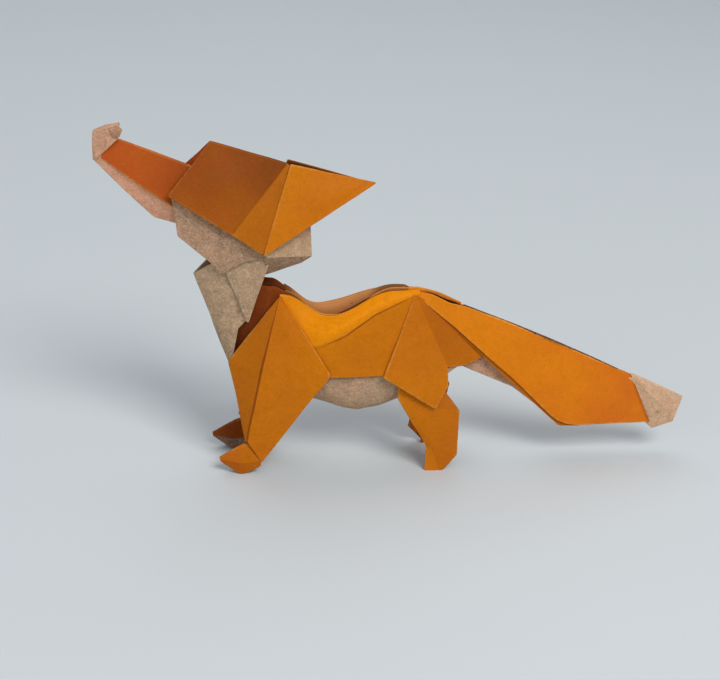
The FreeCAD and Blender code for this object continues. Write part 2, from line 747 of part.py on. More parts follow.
# ---------------------------------------------------------------------------
# Neck and breast
# ---------------------------------------------------------------------------
def neck_rim_height():
    """Height of the breast's rim, a fixed rise above the top of its keel."""
    return size("keel_top_height") + size("neck_rim_rise")


def neck():
    """Pale breast: two sides folded along the keel, open at the rim and behind."""
    half = size("neck_half")
    keel_top = Vector(size("keel_top_x"), 0, size("keel_top_height"))
    keel_low = Vector(size("keel_low_x"), 0, size("keel_low_height"))
    rim = Vector(size("neck_rim_x"), -half * 0.75, neck_rim_height())
    step = Vector(size("breast_step_x"), -half, size("breast_step_height"))
    tip = Vector(size("keel_low_x") + GAP, -half * 0.75, size("keel_low_height") + LAP)
    inner_top = Vector(blend(rim.x, size("neck_rear_x"), 0.6), -half, neck_rim_height())
    under_flap = Vector(size("throat_flap_x"), -half, size("throat_flap_height"))
    run = sheet()
    run.panel(keel_top, rim, inner_top, under_flap, step, tip, keel_low)
    run.mirror()
    return run.solid()


def neck_core():
    """Coloured inside of the neck: a trough behind the breast, running into the back."""
    half = size("neck_half") - GAP
    front_top = Vector(size("neck_rim_x") + 2 * LAP, -half * 0.6, neck_rim_height() + LAP)
    rear_top = Vector(size("neck_rear_x"), -half * 0.7, neck_rim_height() + 2 * LAP)
    nape = Vector(size("nape_x"), -half * 0.7, size("nape_height"))
    withers = Vector(size("withers_x"), -half * 0.7, size("withers_height"))
    back_z = size("shoulder_height") - LAP
    into_back = Vector(size("shoulder_x") + 2 * LAP, -size("groove_half_pinch"), back_z)
    breast = Vector(size("breast_x") + 2 * LAP, -half, size("breast_height") + LAP)
    run = sheet()
    run.panel(nape, rear_top, front_top, breast, into_back, withers)
    run.mirror()
    run.panel(*mirrored_pair(rear_top, nape))
    run.panel(*mirrored_pair(nape, withers))
    run.panel(*mirrored_pair(withers, into_back))
    return run.solid()


def throat_flap(side):
    """Pale triangle that hangs from under the cheek over the breast."""
    tip = Vector(size("throat_flap_x"), side * size("throat_flap_half"), size("throat_flap_height"))
    front = HEAD.at(size("cheek_low_along"), size("neck_half"), size("cheek_low_depth") - 2 * LAP)
    rear = Vector(size("throat_flap_rear_x"), side * size("neck_half"), size("throat_flap_rear_height"))
    run = sheet()
    run.panel(tip, Vector(front.x, side * abs(front.y), front.z), rear)
    return run.solid()


# ---------------------------------------------------------------------------
# Head
# ---------------------------------------------------------------------------
def hood():
    """Hood, ears and cheeks: open toward the snout, folded under at the lower edge."""
    brow = HEAD.at(size("crown_length"), RIDGE, 0)
    crown = HEAD.at(0, RIDGE, 0)
    front = HEAD.at(size("hood_corner_along"), size("hood_corner_half"), size("hood_corner_depth"))
    spread = (size("hood_corner_half") - RIDGE) / size("hood_corner_depth")
    temple_half = RIDGE + spread * size("temple_depth")
    temple = HEAD.at(size("temple_along"), temple_half, size("temple_depth"))
    jowl = HEAD.at(size("jowl_along"), size("jowl_half"), size("jowl_depth"))
    ear_tip = HEAD.at(-size("ear_length"), size("ear_tip_half"), -size("ear_rise"))
    run = sheet()
    run.panel(crown, brow, front, temple)
    run.panel(crown, temple, jowl)
    run.panel(crown, jowl, ear_tip)

    def tucked(along, half, depth):
        return HEAD.at(along, half - GAP, depth)

    front_in = tucked(size("hood_corner_along"), size("hood_corner_half"), size("hood_corner_depth"))
    temple_in = tucked(size("temple_along"), temple_half, size("temple_depth"))
    jowl_in = tucked(size("jowl_along"), size("jowl_half"), size("jowl_depth"))
    run.strip([front, temple, jowl], [front_in, temple_in, jowl_in])
    half = size("cheek_half")
    cheek_front = HEAD.at(size("cheek_front_along"), half, size("cheek_front_depth"))
    low_half = size("cheek_low_half")
    cheek_low = HEAD.at(size("cheek_low_along"), low_half, size("cheek_low_depth"))
    cheek_rear = HEAD.at(size("cheek_rear_along"), low_half + GAP, size("cheek_rear_depth"))
    run.panel(temple_in, front_in, cheek_front, cheek_low)
    run.panel(temple_in, cheek_low, cheek_rear, jowl_in)
    run.mirror()
    run.panel(*mirrored_pair(crown, brow))
    run.panel(*mirrored_pair(cheek_front, cheek_low))
    return run.solid()


def mirrored_pair(first, second):
    """Corners of the strip that joins an edge to its mirror image."""
    return first, second, Vector(second.x, -second.y, second.z), Vector(first.x, -first.y, first.z)


def ruff():
    """Pale wedge behind the cheek, running up between the ears and closing the back of the head."""
    top = HEAD.at(size("ruff_top_along"), RIDGE, size("ruff_top_depth"))
    tip = HEAD.at(size("ruff_tip_along"), RIDGE, size("ruff_tip_depth"))
    fold = HEAD.at(size("jowl_along") - GAP, size("jowl_half") - 2 * GAP, size("jowl_depth") + GAP)
    low = HEAD.at(size("ruff_low_along"), size("cheek_half"), size("ruff_low_depth"))
    inside = HEAD.at(size("jowl_along") + 2 * LAP, size("jowl_half") - 3 * GAP, size("temple_depth"))
    crown = HEAD.at(-LAP, RIDGE, LAP)
    run = sheet()
    run.panel(fold, crown, top, tip)
    run.panel(fold, tip, low)
    run.panel(fold, low, inside)
    run.mirror()
    run.panel(*mirrored_pair(top, tip))
    run.panel(*mirrored_pair(crown, top))
    return run.solid()


def snout():
    """Snout and jaw: a slim kite-shaped tube that tapers to the nose."""
    root_along = size("snout_root_along")
    tip_along = size("snout_tip_along")
    root_drop = size("snout_root_drop")
    tip_drop = size("snout_tip_drop")
    ridge = [HEAD.at(root_along, RIDGE, root_drop), HEAD.at(tip_along, RIDGE, tip_drop)]
    lower = [
        HEAD.at(root_along, size("snout_root_half"), root_drop + size("snout_root_depth")),
        HEAD.at(tip_along, size("snout_tip_half"), tip_drop + size("snout_tip_depth")),
    ]
    tucked = [
        HEAD.at(root_along, size("snout_root_half") - GAP, root_drop + size("snout_root_depth")),
        HEAD.at(tip_along, size("snout_tip_half") - GAP, tip_drop + size("snout_tip_depth")),
    ]
    keel = [
        HEAD.at(root_along, RIDGE, size("jaw_root_depth")),
        HEAD.at(size("chin_along"), RIDGE, size("chin_depth")),
        HEAD.at(size("nose_low_along"), RIDGE, size("nose_low_depth")),
    ]
    run = sheet()
    run.strip(ridge, lower)
    run.strip(lower, tucked)
    run.panel(tucked[0], tucked[1], keel[2], keel[1], keel[0])
    run.mirror()
    run.panel(*mirrored_pair(ridge[0], ridge[1]))
    run.panel(*mirrored_pair(keel[0], keel[1]))
    run.panel(*mirrored_pair(keel[1], keel[2]))
    return run.solid()


def nose():
    """Pale nose cap, wrapped round the tip of the snout and turned up."""
    half = size("nose_half")
    low = HEAD.at(size("nose_low_along"), size("nose_front_half"), size("nose_low_depth"))
    front = HEAD.at(size("nose_front_along"), size("nose_front_half"), size("nose_front_depth"))
    top_front = HEAD.at(size("nose_top_along"), half, size("nose_top_depth"))
    back_low = HEAD.at(size("nose_back_along") - GAP, half, size("nose_front_depth"))
    back = HEAD.at(size("nose_back_along") - GAP, half, size("nose_back_depth") + LAP)
    crest = HEAD.at(size("nose_back_along"), half * 0.6, size("nose_back_depth"))
    crest_front = HEAD.at(size("nose_top_along"), half * 0.6, size("nose_top_depth"))
    run = sheet()
    run.panel(front, low, back_low, back, crest, crest_front)
    run.mirror()
    run.panel(*mirrored_pair(low, front))
    run.panel(*mirrored_pair(front, crest_front))
    run.panel(*mirrored_pair(crest_front, crest))
    return run.solid()


# ---------------------------------------------------------------------------
# The document: every run as its own object, fused into one sheet and stood on the ground
# ---------------------------------------------------------------------------
nose_x = HEAD.at(size("nose_front_along"), 0, size("nose_front_depth")).x
tail_x = TAIL.at(size("tail_length") + size("tail_tip_length"), 0, 0).x
middle_x = (nose_x + tail_x) / 2.0

near_leg, near_paw = foreleg(NEAR, 0.0)
far_leg, far_paw = foreleg(FAR, size("far_fore_step"))
runs = [
    ("torso", torso()),
    ("near_foreleg", near_leg),
    ("near_paw", near_paw),
    ("far_foreleg", far_leg),
    ("far_paw", far_paw),
    ("near_haunch", haunch(NEAR)),
    ("far_haunch", haunch(FAR)),
    ("near_hindleg", hindleg(NEAR, 0.0)),
    ("far_hindleg", hindleg(FAR, size("far_hind_step"))),
    ("tail", tail()),
    ("tail_core", tail_core()),
    ("neck", neck()),
    ("neck_core", neck_core()),
    ("near_throat_flap", throat_flap(NEAR)),
    ("far_throat_flap", throat_flap(FAR)),
    ("hood", hood()),
    ("ruff", ruff()),
    ("snout", snout()),
    ("nose", nose()),
]

layers = []
for label, shape in runs:
    layer = doc.addObject("Part::Feature", label)
    layer.Label = label
    layer.Shape = shape
    layer.Placement = FreeCAD.Placement(Vector(-middle_x, 0, 0), FreeCAD.Rotation())
    layers.append(layer)

joined = doc.addObject("Part::MultiFuse", "joined_layers")
joined.Label = "joined_layers"
joined.Shapes = layers
joined.Refine = True

ground = doc.addObject("Part::Box", "ground")
ground.Label = "ground"
for side in ("Length", "Width", "Height"):
    ground.setExpression(side, "Sizes.ground_side")
ground.setExpression("Placement.Base.x", "-Sizes.ground_side / 2")
ground.setExpression("Placement.Base.y", "-Sizes.ground_side / 2")
ground.setExpression("Placement.Base.z", "-Sizes.ground_side")

fox = doc.addObject("Part::Cut", "folded_fox")
fox.Label = "folded_fox"
fox.Base = joined
fox.Tool = ground
doc.recompute()

for item in doc.Objects:
    state = [word for word in item.State if word in ("Invalid", "Error")]
    if state:
        raise RuntimeError("%s: %s" % (item.Label, state))
    shape = getattr(item, "Shape", None)
    if shape is not None and (shape.isNull() or not shape.isValid()):
        raise RuntimeError("%s has a bad shape" % item.Label)

os.makedirs("parts", exist_ok=True)
fox.Shape.exportStep("parts/folded_fox.step")
print("solids %d, faces %d, volume %.0f mm3" % (len(fox.Shape.Solids), len(fox.Shape.Faces), fox.Shape.Volume))
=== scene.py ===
"""Dressed model of a fox folded from one sheet of two-coloured paper.

The fox is made again as curved, creased and layered sheets of paper in the frame of the solid
model. Sizes are millimetres in the fox's own axes: +Z up, nose toward -X, near side -Y.
"""
import logging
import math
from collections.abc import Callable
from dataclasses import dataclass, replace
from enum import Enum

import bpy
import numpy as np
from mathutils import Matrix


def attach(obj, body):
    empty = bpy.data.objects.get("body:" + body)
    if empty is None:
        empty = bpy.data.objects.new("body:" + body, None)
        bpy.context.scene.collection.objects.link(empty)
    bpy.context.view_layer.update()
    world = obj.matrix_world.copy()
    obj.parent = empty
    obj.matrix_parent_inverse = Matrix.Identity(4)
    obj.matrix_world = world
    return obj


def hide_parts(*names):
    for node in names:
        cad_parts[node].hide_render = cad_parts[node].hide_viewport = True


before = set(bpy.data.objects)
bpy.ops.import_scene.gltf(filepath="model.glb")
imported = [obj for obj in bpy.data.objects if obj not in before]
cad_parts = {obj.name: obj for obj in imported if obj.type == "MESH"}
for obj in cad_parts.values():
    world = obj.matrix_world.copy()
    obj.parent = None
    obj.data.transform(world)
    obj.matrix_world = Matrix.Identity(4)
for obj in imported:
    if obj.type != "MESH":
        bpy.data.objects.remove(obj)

LOG = logging.getLogger("paper_fox")
MM = 0.001
MIDDLE_X = 0.759  # middle of the fox's length in its own axes, mm
FAR = np.array([1.0, -1.0, 1.0])  # turns a near place into the far one
SHARP_ANGLE = 58.0  # edges that turn by more are shaded sharp, degrees
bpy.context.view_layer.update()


# ---------------------------------------------------------------------------
# Shader kit
# ---------------------------------------------------------------------------
def operator(operation: str, turned: bool = False) -> Callable[["Wire", "Wire | float"], "Wire"]:
    """Method that adds a Math node over a wire and another value, which comes first if turned."""

    def method(wire: "Wire", other: "Wire | float") -> "Wire":
        """Works out the operation."""
        return wire.math(operation, *((other, wire) if turned else (wire, other)))

    return method


class Wire:
    """A shader socket that reads like a number: operators add the nodes that work it out."""

    def __init__(self, tree: bpy.types.NodeTree, socket: bpy.types.NodeSocket) -> None:
        """Wraps an output socket of a node tree."""
        self.tree = tree
        self.socket = socket

    def math(self, operation: str, *values: "Wire | float") -> "Wire":
        """Adds a Math node over the values."""
        return add_node(self.tree, "ShaderNodeMath", {"operation": operation}, values)

    __add__ = __radd__ = operator("ADD")
    __mul__ = __rmul__ = operator("MULTIPLY")
    __sub__ = operator("SUBTRACT")
    __rsub__ = operator("SUBTRACT", turned=True)
    larger = operator("MAXIMUM")

    def __abs__(self) -> "Wire":
        """Size without its sign."""
        return self.math("ABSOLUTE", self)

    def clamp(self) -> "Wire":
        """Value held between 0 and 1."""
        wire = self + 0.0
        wire.socket.node.use_clamp = True
        return wire

    def rise(self, low: float, high: float) -> "Wire":
        """Smooth step from 0 at low to 1 at high."""
        settings = {"interpolation_type": "SMOOTHSTEP"}
        return add_node(self.tree, "ShaderNodeMapRange", settings, (self, low, high, 0.0, 1.0))


def add_node(
    tree: bpy.types.NodeTree,
    kind: str,
    settings: dict[str, object] | None = None,
    values: tuple | dict[str, object] = (),
    output: str | int = 0,
) -> Wire:
    """Adds one node, sets it up and joins its inputs.

    Args:
        tree: node tree that the node goes into.
        kind: type of the node.
        settings: properties of the node, set before its sockets.
        values: numbers, colours or wires of its inputs, in order or by name.
        output: name or number of the output to return.

    Returns:
        The chosen output as a wire.
    """
    node = tree.nodes.new(kind)
    for name, value in (settings or {}).items():
        setattr(node, name, value)
    pairs = values.items() if isinstance(values, dict) else enumerate(values)
    for key, value in pairs:
        if isinstance(value, Wire):
            tree.links.new(value.socket, node.inputs[key])
        else:
            node.inputs[key].default_value = value
    return Wire(tree, node.outputs[output])


def linear(red: int, green: int, blue: int) -> tuple[float, float, float, float]:
    """Colour of a screen value from 0 to 255 a channel, as linear light."""
    shares = [value / 255.0 for value in (red, green, blue)]
    light = [s / 12.92 if s <= 0.04045 else ((s + 0.055) / 1.055) ** 2.4 for s in shares]
    return (light[0], light[1], light[2], 1.0)


class Face(Enum):
    """The two faces of the sheet and its cut edge, as material places of a piece."""

    OUTER = 0
    INNER = 1
    EDGE = 2


@dataclass(frozen=True)
class PaperFinish:
    """One face of the paper: its dye, the mottling in it, its grain, its worn ridges with a painted
    highlight, and its painted shade.

    Attributes:
        name: name of the material.
        fresh: colour where the dye took lightly.
        deep: colour where the dye took most.
        scuffed_highlight_colour: colour of the paper where a fold is worn and takes a painted highlight; the
            fibres take it too.
        blotch: strength of the mottling a few millimetres across.
        speckle: strength of the specks half a millimetre across.
        fibre: strength of the fibres that show, 0 to 1.
        scuff_and_highlight: how far a ridge is worn lighter and takes a painted highlight, 0 to 1.
        rough: mean roughness.
        relief: height of the grain, mm.
    """

    name: str
    fresh: tuple[float, float, float, float]
    deep: tuple[float, float, float, float]
    scuffed_highlight_colour: tuple[float, float, float, float]
    blotch: float
    speckle: float
    fibre: float
    scuff_and_highlight: float
    rough: float
    relief: float

    def make(self) -> bpy.types.Material:
        """Builds the material.

        The dye's depth is the sheet's own tint plus broad clouds and blots. The colour is worn
        lighter on ridges with a painted highlight, mottled at three sizes and darkened by the painted
        shade, then crossed by fibres and pressed lines, and darkened in valleys by painted shade.

        Returns:
            The finished material.
        """
        material = bpy.data.materials.new(self.name)
        material.use_nodes = True
        tree = material.node_tree
        tree.nodes.clear()

        def node(kind: str, settings: dict[str, object], values: tuple | dict, output: str | int = 0) -> Wire:
            """Adds a shader node of this material."""
            return add_node(tree, "ShaderNode" + kind, settings, values, output)

        def blend(share: Wire | float, low: object, high: object, mode: str = "MIX") -> Wire:
            """Colour from low to high by a share, or high laid over low in the given mode."""
            settings = {"data_type": "RGBA", "blend_type": mode, "clamp_factor": True}
            return node("Mix", settings, {0: share, 6: low, 7: high}, 2)

        place = node("TexCoord", {}, (), "Object")
        grid = node("VectorMath", {"operation": "SCALE"}, {0: place, "Scale": 1.0 / MM})
        warp = node("TexNoise", {}, {"Vector": grid, "Scale": 0.35, "Detail": 2.0}, "Color")
        bent = node("VectorMath", {"operation": "MULTIPLY_ADD"}, (warp, (2.2, 2.2, 2.2), grid))

        def noise(scale: float, detail: float, roughness: float, where: Wire = grid) -> Wire:
            """Noise from 0 to 1 with features about 1 / scale mm wide."""
            values = {"Vector": where, "Scale": scale, "Detail": detail, "Roughness": roughness}
            return node("TexNoise", {}, values)

        def threads(axis: str, stretch: tuple, runs: tuple, detail: float, soft: float, width: float) -> Wire:
            """Thin lines where stretched noise crosses its middle, a set for each scale and turn."""
            found = None
            for scale, turn in runs:
                turned = node("VectorRotate", {"rotation_type": axis}, {"Vector": bent, "Angle": turn})
                drawn = node("VectorMath", {"operation": "MULTIPLY"}, (turned, stretch))
                thread = 1.0 - abs(noise(scale, detail, soft, drawn) - 0.5).rise(0.0, width)
                found = thread if found is None else found.larger(thread)
            return found

        labels = ("tint", "fold", "painted_shade")
        tint, fold, painted_shade = (node("Attribute", {"attribute_name": label}, (), "Fac") for label in labels)
        clouds = noise(0.06, 3.0, 0.5)
        blots = noise(0.5, 5.0, 0.66, bent)
        flecks = noise(2.0, 5.0, 0.74, bent)
        grain = noise(6.0, 2.0, 0.6)
        colour = blend((tint + (clouds - 0.5) * 0.5 + (blots - 0.5) * 0.5).clamp(), self.fresh, self.deep)
        # Ridges worn lighter: partly the fold's real scuffing, partly a painted highlight along its rim.
        ridge = fold.rise(0.12, 0.9) * (0.25 + 0.75 * noise(0.9, 4.0, 0.7).rise(0.38, 0.62))
        colour = blend(ridge * self.scuff_and_highlight, colour, self.scuffed_highlight_colour)
        # Specks show more under the painted shade, which then darkens the tone.
        speck = (flecks - 0.5) * (0.4 + painted_shade * 0.8) * self.speckle
        tone = 1.0 + (blots - 0.5) * self.blotch + speck + (grain - 0.5) * 0.12
        tone = tone * (1.0 - painted_shade * (0.85 + clouds * 0.3))
        colour = blend(1.0, colour, node("CombineColor", {}, (tone, tone, tone)), "MULTIPLY")
        fibres = threads("Z_AXIS", (0.22, 1.0, 1.0), ((0.8, 0.3), (1.1, 1.4), (0.9, 2.5)), 1.0, 0.4, 0.012)
        fibres = fibres * noise(0.5, 2.0, 0.5, bent).rise(0.45, 0.62)
        colour = blend(fibres * self.fibre, colour, self.scuffed_highlight_colour)
        pressed = threads("Y_AXIS", (1.0, 0.6, 0.28), ((0.11, 0.5), (0.17, 2.1)), 2.0, 0.45, 0.04)
        pressed = pressed * noise(0.2, 1.0, 0.5).rise(0.46, 0.66)
        colour = blend(pressed * 0.08, colour, self.deep)
        # Painted shade darkening the valleys of the folds.
        valley = (0.0 - fold).rise(0.03, 0.6)
        shadow = tuple(v * 0.3 for v in self.deep[:3]) + (1.0,)
        colour = blend(valley * 0.62, colour, shadow)
        rough = (self.rough + (blots - 0.5) * 0.22 + (flecks - 0.5) * 0.14 + ridge * 0.12).clamp()
        height = flecks * 0.5 + grain * 0.35 + fibres * 0.4 + blots * 0.9 - pressed * 0.7
        bump = node("Bump", {}, {"Strength": 1.0, "Distance": self.relief * MM, "Height": height}, "Normal")
        values = {"Base Color": colour, "Roughness": rough, "Normal": bump, "Specular IOR Level": 0.06}
        shader = node("BsdfPrincipled", {}, values)
        out = tree.nodes.new("ShaderNodeOutputMaterial")
        tree.links.new(shader.socket, out.inputs["Surface"])
        return material


# ---------------------------------------------------------------------------
# Sheet kit
# ---------------------------------------------------------------------------
def soft_ramp(run: np.ndarray, radius: float) -> np.ndarray:
    """Ramp that is 0 before 0 and rises 1 for 1 after it, with a parabola across its corner.

    Args:
        run: distance past the corner.
        radius: half width of the rounded corner.

    Returns:
        Rise of the ramp.
    """
    rounded = (run + radius) ** 2 / (4.0 * radius)
    return np.where(run < -radius, 0.0, np.where(run > radius, run, rounded))


def fold_basis(knots: np.ndarray, radii: np.ndarray, stations: np.ndarray) -> np.ndarray:
    """Share of each knot's point in the line of points at the stations.

    The line is the first straight run, plus at each inner knot the change of direction times a
    soft ramp of the fold's radius.

    Args:
        knots: places of the creases along the sheet, mm.
        radii: half width of each inner fold, mm.
        stations: places to work out, mm.

    Returns:
        Matrix of stations by knots.
    """
    slopes = np.diff(np.eye(len(knots)), axis=0) / np.diff(knots)[:, None]
    basis = np.zeros((len(stations), len(knots)))
    basis[:, 0] = 1.0
    basis += (stations - knots[0])[:, None] * slopes[0]
    for knot, radius, change in zip(knots[1:-1], radii, np.diff(slopes, axis=0)):
        basis += soft_ramp(stations - knot, radius)[:, None] * change
    return basis


def fold_stations(knots: np.ndarray, radii: np.ndarray, pitch: float) -> np.ndarray:
    """Places along the sheet: even steps of about the pitch, seven across each fold, one by each end."""
    end, closest = 0.25, 0.06
    even = [np.linspace(a, b, max(2, math.ceil((b - a) / pitch) + 1)) for a, b in zip(knots[:-1], knots[1:])]
    spread = np.array([-1.8, -1.0, -0.5, 0.0, 0.5, 1.0, 1.8])
    folds = [knot + radius * spread for knot, radius in zip(knots[1:-1], radii)]
    found = np.unique(np.round(np.concatenate(even + folds + [knots[:1] + end, knots[-1:] - end]), 4))
    keep = np.concatenate([[True], np.diff(found) > closest])
    keep[-1] = True
    return found[keep]


def swell(knots: np.ndarray, stations: np.ndarray) -> np.ndarray:
    """Swell with level ends over each run between knots, a squared sine, as stations by runs."""
    share = (stations[:, None] - knots[:-1]) / np.diff(knots)
    return np.sin(math.pi * np.clip(share, 0.0, 1.0)) ** 2


def wander(points: np.ndarray, seed: int) -> np.ndarray:
    """Slow unevenness of hand-folded paper: a sum of six sine waves in set directions, about -1 to 1."""
    chance = np.random.default_rng(seed)
    total = np.zeros(len(points))
    for length in (34.0, 23.0, 15.0, 10.0, 7.0, 5.0):
        heading = chance.normal(size=3)
        heading *= 2.0 * math.pi / length / np.linalg.norm(heading)
        total += (length / 34.0) ** 0.8 * np.sin(points @ heading + chance.uniform(0, 6.28))
    return total / 2.6


@dataclass
class Sheet:
    """A run of the folded sheet, drawn as a net of corners with a fold along each inner line.

    Tint and painted shade have one value for each panel or, blended between them, for each corner.
    A list goes along the columns, and a column of single values along the rows.

    Attributes:
        corners: net of corners in mm, rows by columns by 3; the fold lines join them.
        row_folds: half width of the fold at each inner row.
        column_folds: half width of the fold at each inner column.
        crown: height of the swell of each panel, toward the outer face, mm.
        tint: depth of dye, 0 to 1.
        painted_shade: painted shade that darkens the dye, 0 to 1; below 0 it is painted lighter.
        thickness: thickness of the paper, mm.
        pitch: size of the facets, mm.
        uneven: height of the unevenness, mm.
        flip: whether the outer face is on the other side of the net.
    """

    corners: np.ndarray
    row_folds: list[float] | float = 0.3
    column_folds: list[float] | float = 0.3
    crown: np.ndarray | list | float = 0.0
    tint: np.ndarray | list | float = 0.3
    painted_shade: np.ndarray | list | float = 0.0
    thickness: float = 0.34
    pitch: float = 0.9
    uneven: float = 0.12
    flip: bool = False

    def on_side(self, far: bool) -> "Sheet":
        """This run, or the same run on the far side."""
        return replace(self, corners=self.corners * FAR, flip=not self.flip) if far else self

    def _lines(self, axis: int, folds: list[float] | float) -> tuple[np.ndarray, np.ndarray, np.ndarray]:
        """Knots, radii and stations along one axis; a run is as long as its panels are on average."""
        steps = np.linalg.norm(np.diff(self.corners, axis=axis), axis=2)
        lengths = np.sqrt((steps ** 2).mean(axis=1 - axis)) + 1e-3
        knots = np.concatenate([[0.0], np.cumsum(lengths)])
        room = 0.48 * np.minimum(lengths[:-1], lengths[1:])
        radii = np.minimum(folds, room)
        return knots, radii, fold_stations(knots, radii, self.pitch)

    def _spread(self, value: np.ndarray | list | float, lines: tuple, middles: tuple) -> np.ndarray:
        """Value of a panel, or blended between corners, at the middle of every facet's row and column."""
        value = np.atleast_2d(np.asarray(value, dtype=float))
        corners = tuple(len(knots) for knots in lines)
        if any(1 < size == count for size, count in zip(value.shape, corners)):
            hats = [
                np.stack([np.interp(middle, knots, unit) for unit in np.eye(len(knots))], axis=1)
                for knots, middle in zip(lines, middles)
            ]
            return hats[0] @ np.broadcast_to(value, corners) @ hats[1].T
        panels = (corners[0] - 1, corners[1] - 1)
        row, column = (
            np.clip(np.searchsorted(knots, middle) - 1, 0, len(knots) - 2)
            for knots, middle in zip(lines, middles)
        )
        return np.broadcast_to(value, panels)[row[:, None], column[None, :]]

    def _grid(self) -> tuple[np.ndarray, np.ndarray, np.ndarray]:
        """Smooth surface of the net before it is welded.

        Points = row basis x corners x column basis. Rise = the crown times the two swells.

        Returns:
            Points by rows and columns, the rise of each, and tint and painted shade of each facet.
        """
        rows, row_radii, s = self._lines(0, self.row_folds)
        columns, column_radii, t = self._lines(1, self.column_folds)
        bases = fold_basis(rows, row_radii, s), fold_basis(columns, column_radii, t)
        points = np.einsum("ik,klc,jl->ijc", bases[0], self.corners, bases[1])
        crown = np.broadcast_to(np.asarray(self.crown, dtype=float), (len(rows) - 1, len(columns) - 1))
        raised = swell(rows, s) @ crown @ swell(columns, t).T
        middles = ((s[:-1] + s[1:]) / 2, (t[:-1] + t[1:]) / 2)
        tint_and_shade = [self._spread(value, (rows, columns), middles) for value in (self.tint, self.painted_shade)]
        return points, raised, np.stack(tint_and_shade, axis=2)

    def build(self, seed: int) -> dict[str, np.ndarray]:
        """Works out the closed surface of the sheet.

        The grid's points are welded where they meet, raised along the normal by the crown and by
        the unevenness, then moved half a thickness to both sides and joined along the cut edge.

        Args:
            seed: seed of the unevenness.

        Returns:
            Arrays of points, triangles, face kinds, fold, and dye, which holds the tint and the painted
            shade.
        """
        grid, raised, tint_and_shade = self._grid()
        points = grid.reshape(-1, 3)
        _, welded = np.unique(np.round(points, 3), axis=0, return_inverse=True)
        welded = welded.reshape(-1)
        count = welded.max() + 1
        place = np.zeros((count, 3))
        place[welded] = points
        lift = np.zeros(count)
        np.maximum.at(lift, welded, raised.reshape(-1))
        number = welded.reshape(raised.shape)
        a, b, c, d = number[:-1, :-1], number[:-1, 1:], number[1:, 1:], number[1:, :-1]
        triangles = np.stack([np.stack([a, b, c], -1), np.stack([a, c, d], -1)], 2).reshape(-1, 3)
        tint_and_shade = np.repeat(tint_and_shade.reshape(-1, 2), 2, axis=0)
        whole = (triangles != np.roll(triangles, 1, axis=1)).all(axis=1)
        triangles, tint_and_shade = triangles[whole], tint_and_shade[whole]
        if self.flip:
            triangles = triangles[:, ::-1]
        normals = vertex_normals(place, triangles)
        place = place + normals * (lift + self.uneven * wander(place, seed))[:, None]
        normals = vertex_normals(place, triangles)
        bend = bending(place, triangles, normals)
        half = normals * (self.thickness / 2.0)
        rim, owners = boundary(triangles)
        near, far = rim[:, 0], rim[:, 1]
        faces = [triangles, triangles[:, ::-1] + count]
        faces.append(np.stack([far, near, near + count], -1))
        faces.append(np.stack([far, near + count, far + count], -1))
        kinds = [Face.OUTER.value, Face.INNER.value, Face.EDGE.value, Face.EDGE.value]
        return {
            "points": np.concatenate([place + half, place - half]),
            "triangles": np.concatenate(faces),
            "kinds": np.repeat(kinds, [len(part) for part in faces]),
            "fold": np.concatenate([bend, -bend]),
            # dye holds the tint and the painted shade of each face.
            "dye": np.concatenate([tint_and_shade, tint_and_shade, tint_and_shade[owners], tint_and_shade[owners]]),
        }


def vertex_normals(points: np.ndarray, triangles: np.ndarray) -> np.ndarray:
    """Unit normals: the sum of the area-weighted normals of the triangles round each point."""
    first, second, third = (points[triangles[:, k]] for k in range(3))
    flat = np.cross(second - first, third - first)
    total = np.zeros_like(points)
    for k in range(3):
        np.add.at(total, triangles[:, k], flat)
    return total / np.maximum(np.linalg.norm(total, axis=1, keepdims=True), 1e-12)


def triangle_edges(triangles: np.ndarray) -> np.ndarray:
    """Directed edges of the triangles: all the first ones, then the second and the third."""
    return np.concatenate([triangles[:, [0, 1]], triangles[:, [1, 2]], triangles[:, [2, 0]]])


def bending(points: np.ndarray, triangles: np.ndarray, normals: np.ndarray) -> np.ndarray:
    """Mean bend at each point, 1 on a sharp ridge and -1 in a sharp valley.

    Over the edges that leave a point, the mean of twice their drop below the tangent plane over
    their squared length.
    """
    sharp, shortest = 0.9, 0.02  # bend that counts as 1, per mm; least squared length, mm2
    ends = triangle_edges(triangles)
    ends = np.concatenate([ends, ends[:, ::-1]])
    run = points[ends[:, 1]] - points[ends[:, 0]]
    drop = -2.0 * (run * normals[ends[:, 0]]).sum(axis=1) / np.maximum((run ** 2).sum(axis=1), shortest)
    total = np.zeros(len(points))
    count = np.zeros(len(points))
    np.add.at(total, ends[:, 0], drop)
    np.add.at(count, ends[:, 0], 1.0)
    return np.clip(total / np.maximum(count, 1.0) / sharp, -1.0, 1.0)


def boundary(triangles: np.ndarray) -> tuple[np.ndarray, np.ndarray]:
    """Directed edges that only one triangle has, and that triangle: the cut edge of the sheet."""
    edges = triangle_edges(triangles)
    owners = np.tile(np.arange(len(triangles)), 3)
    size = int(edges.max()) + 1
    alone = ~np.isin(edges @ [size, 1], edges @ [1, size])
    return edges[alone], owners[alone]


@dataclass(frozen=True)
class PaperSet:
    """The materials of one piece: outer face, inner face and edge."""

    outer: bpy.types.Material
    inner: bpy.types.Material
    edge: bpy.types.Material

    def lined(self) -> "PaperSet":
        """The same set with its outer face on both sides."""
        return replace(self, inner=self.outer)


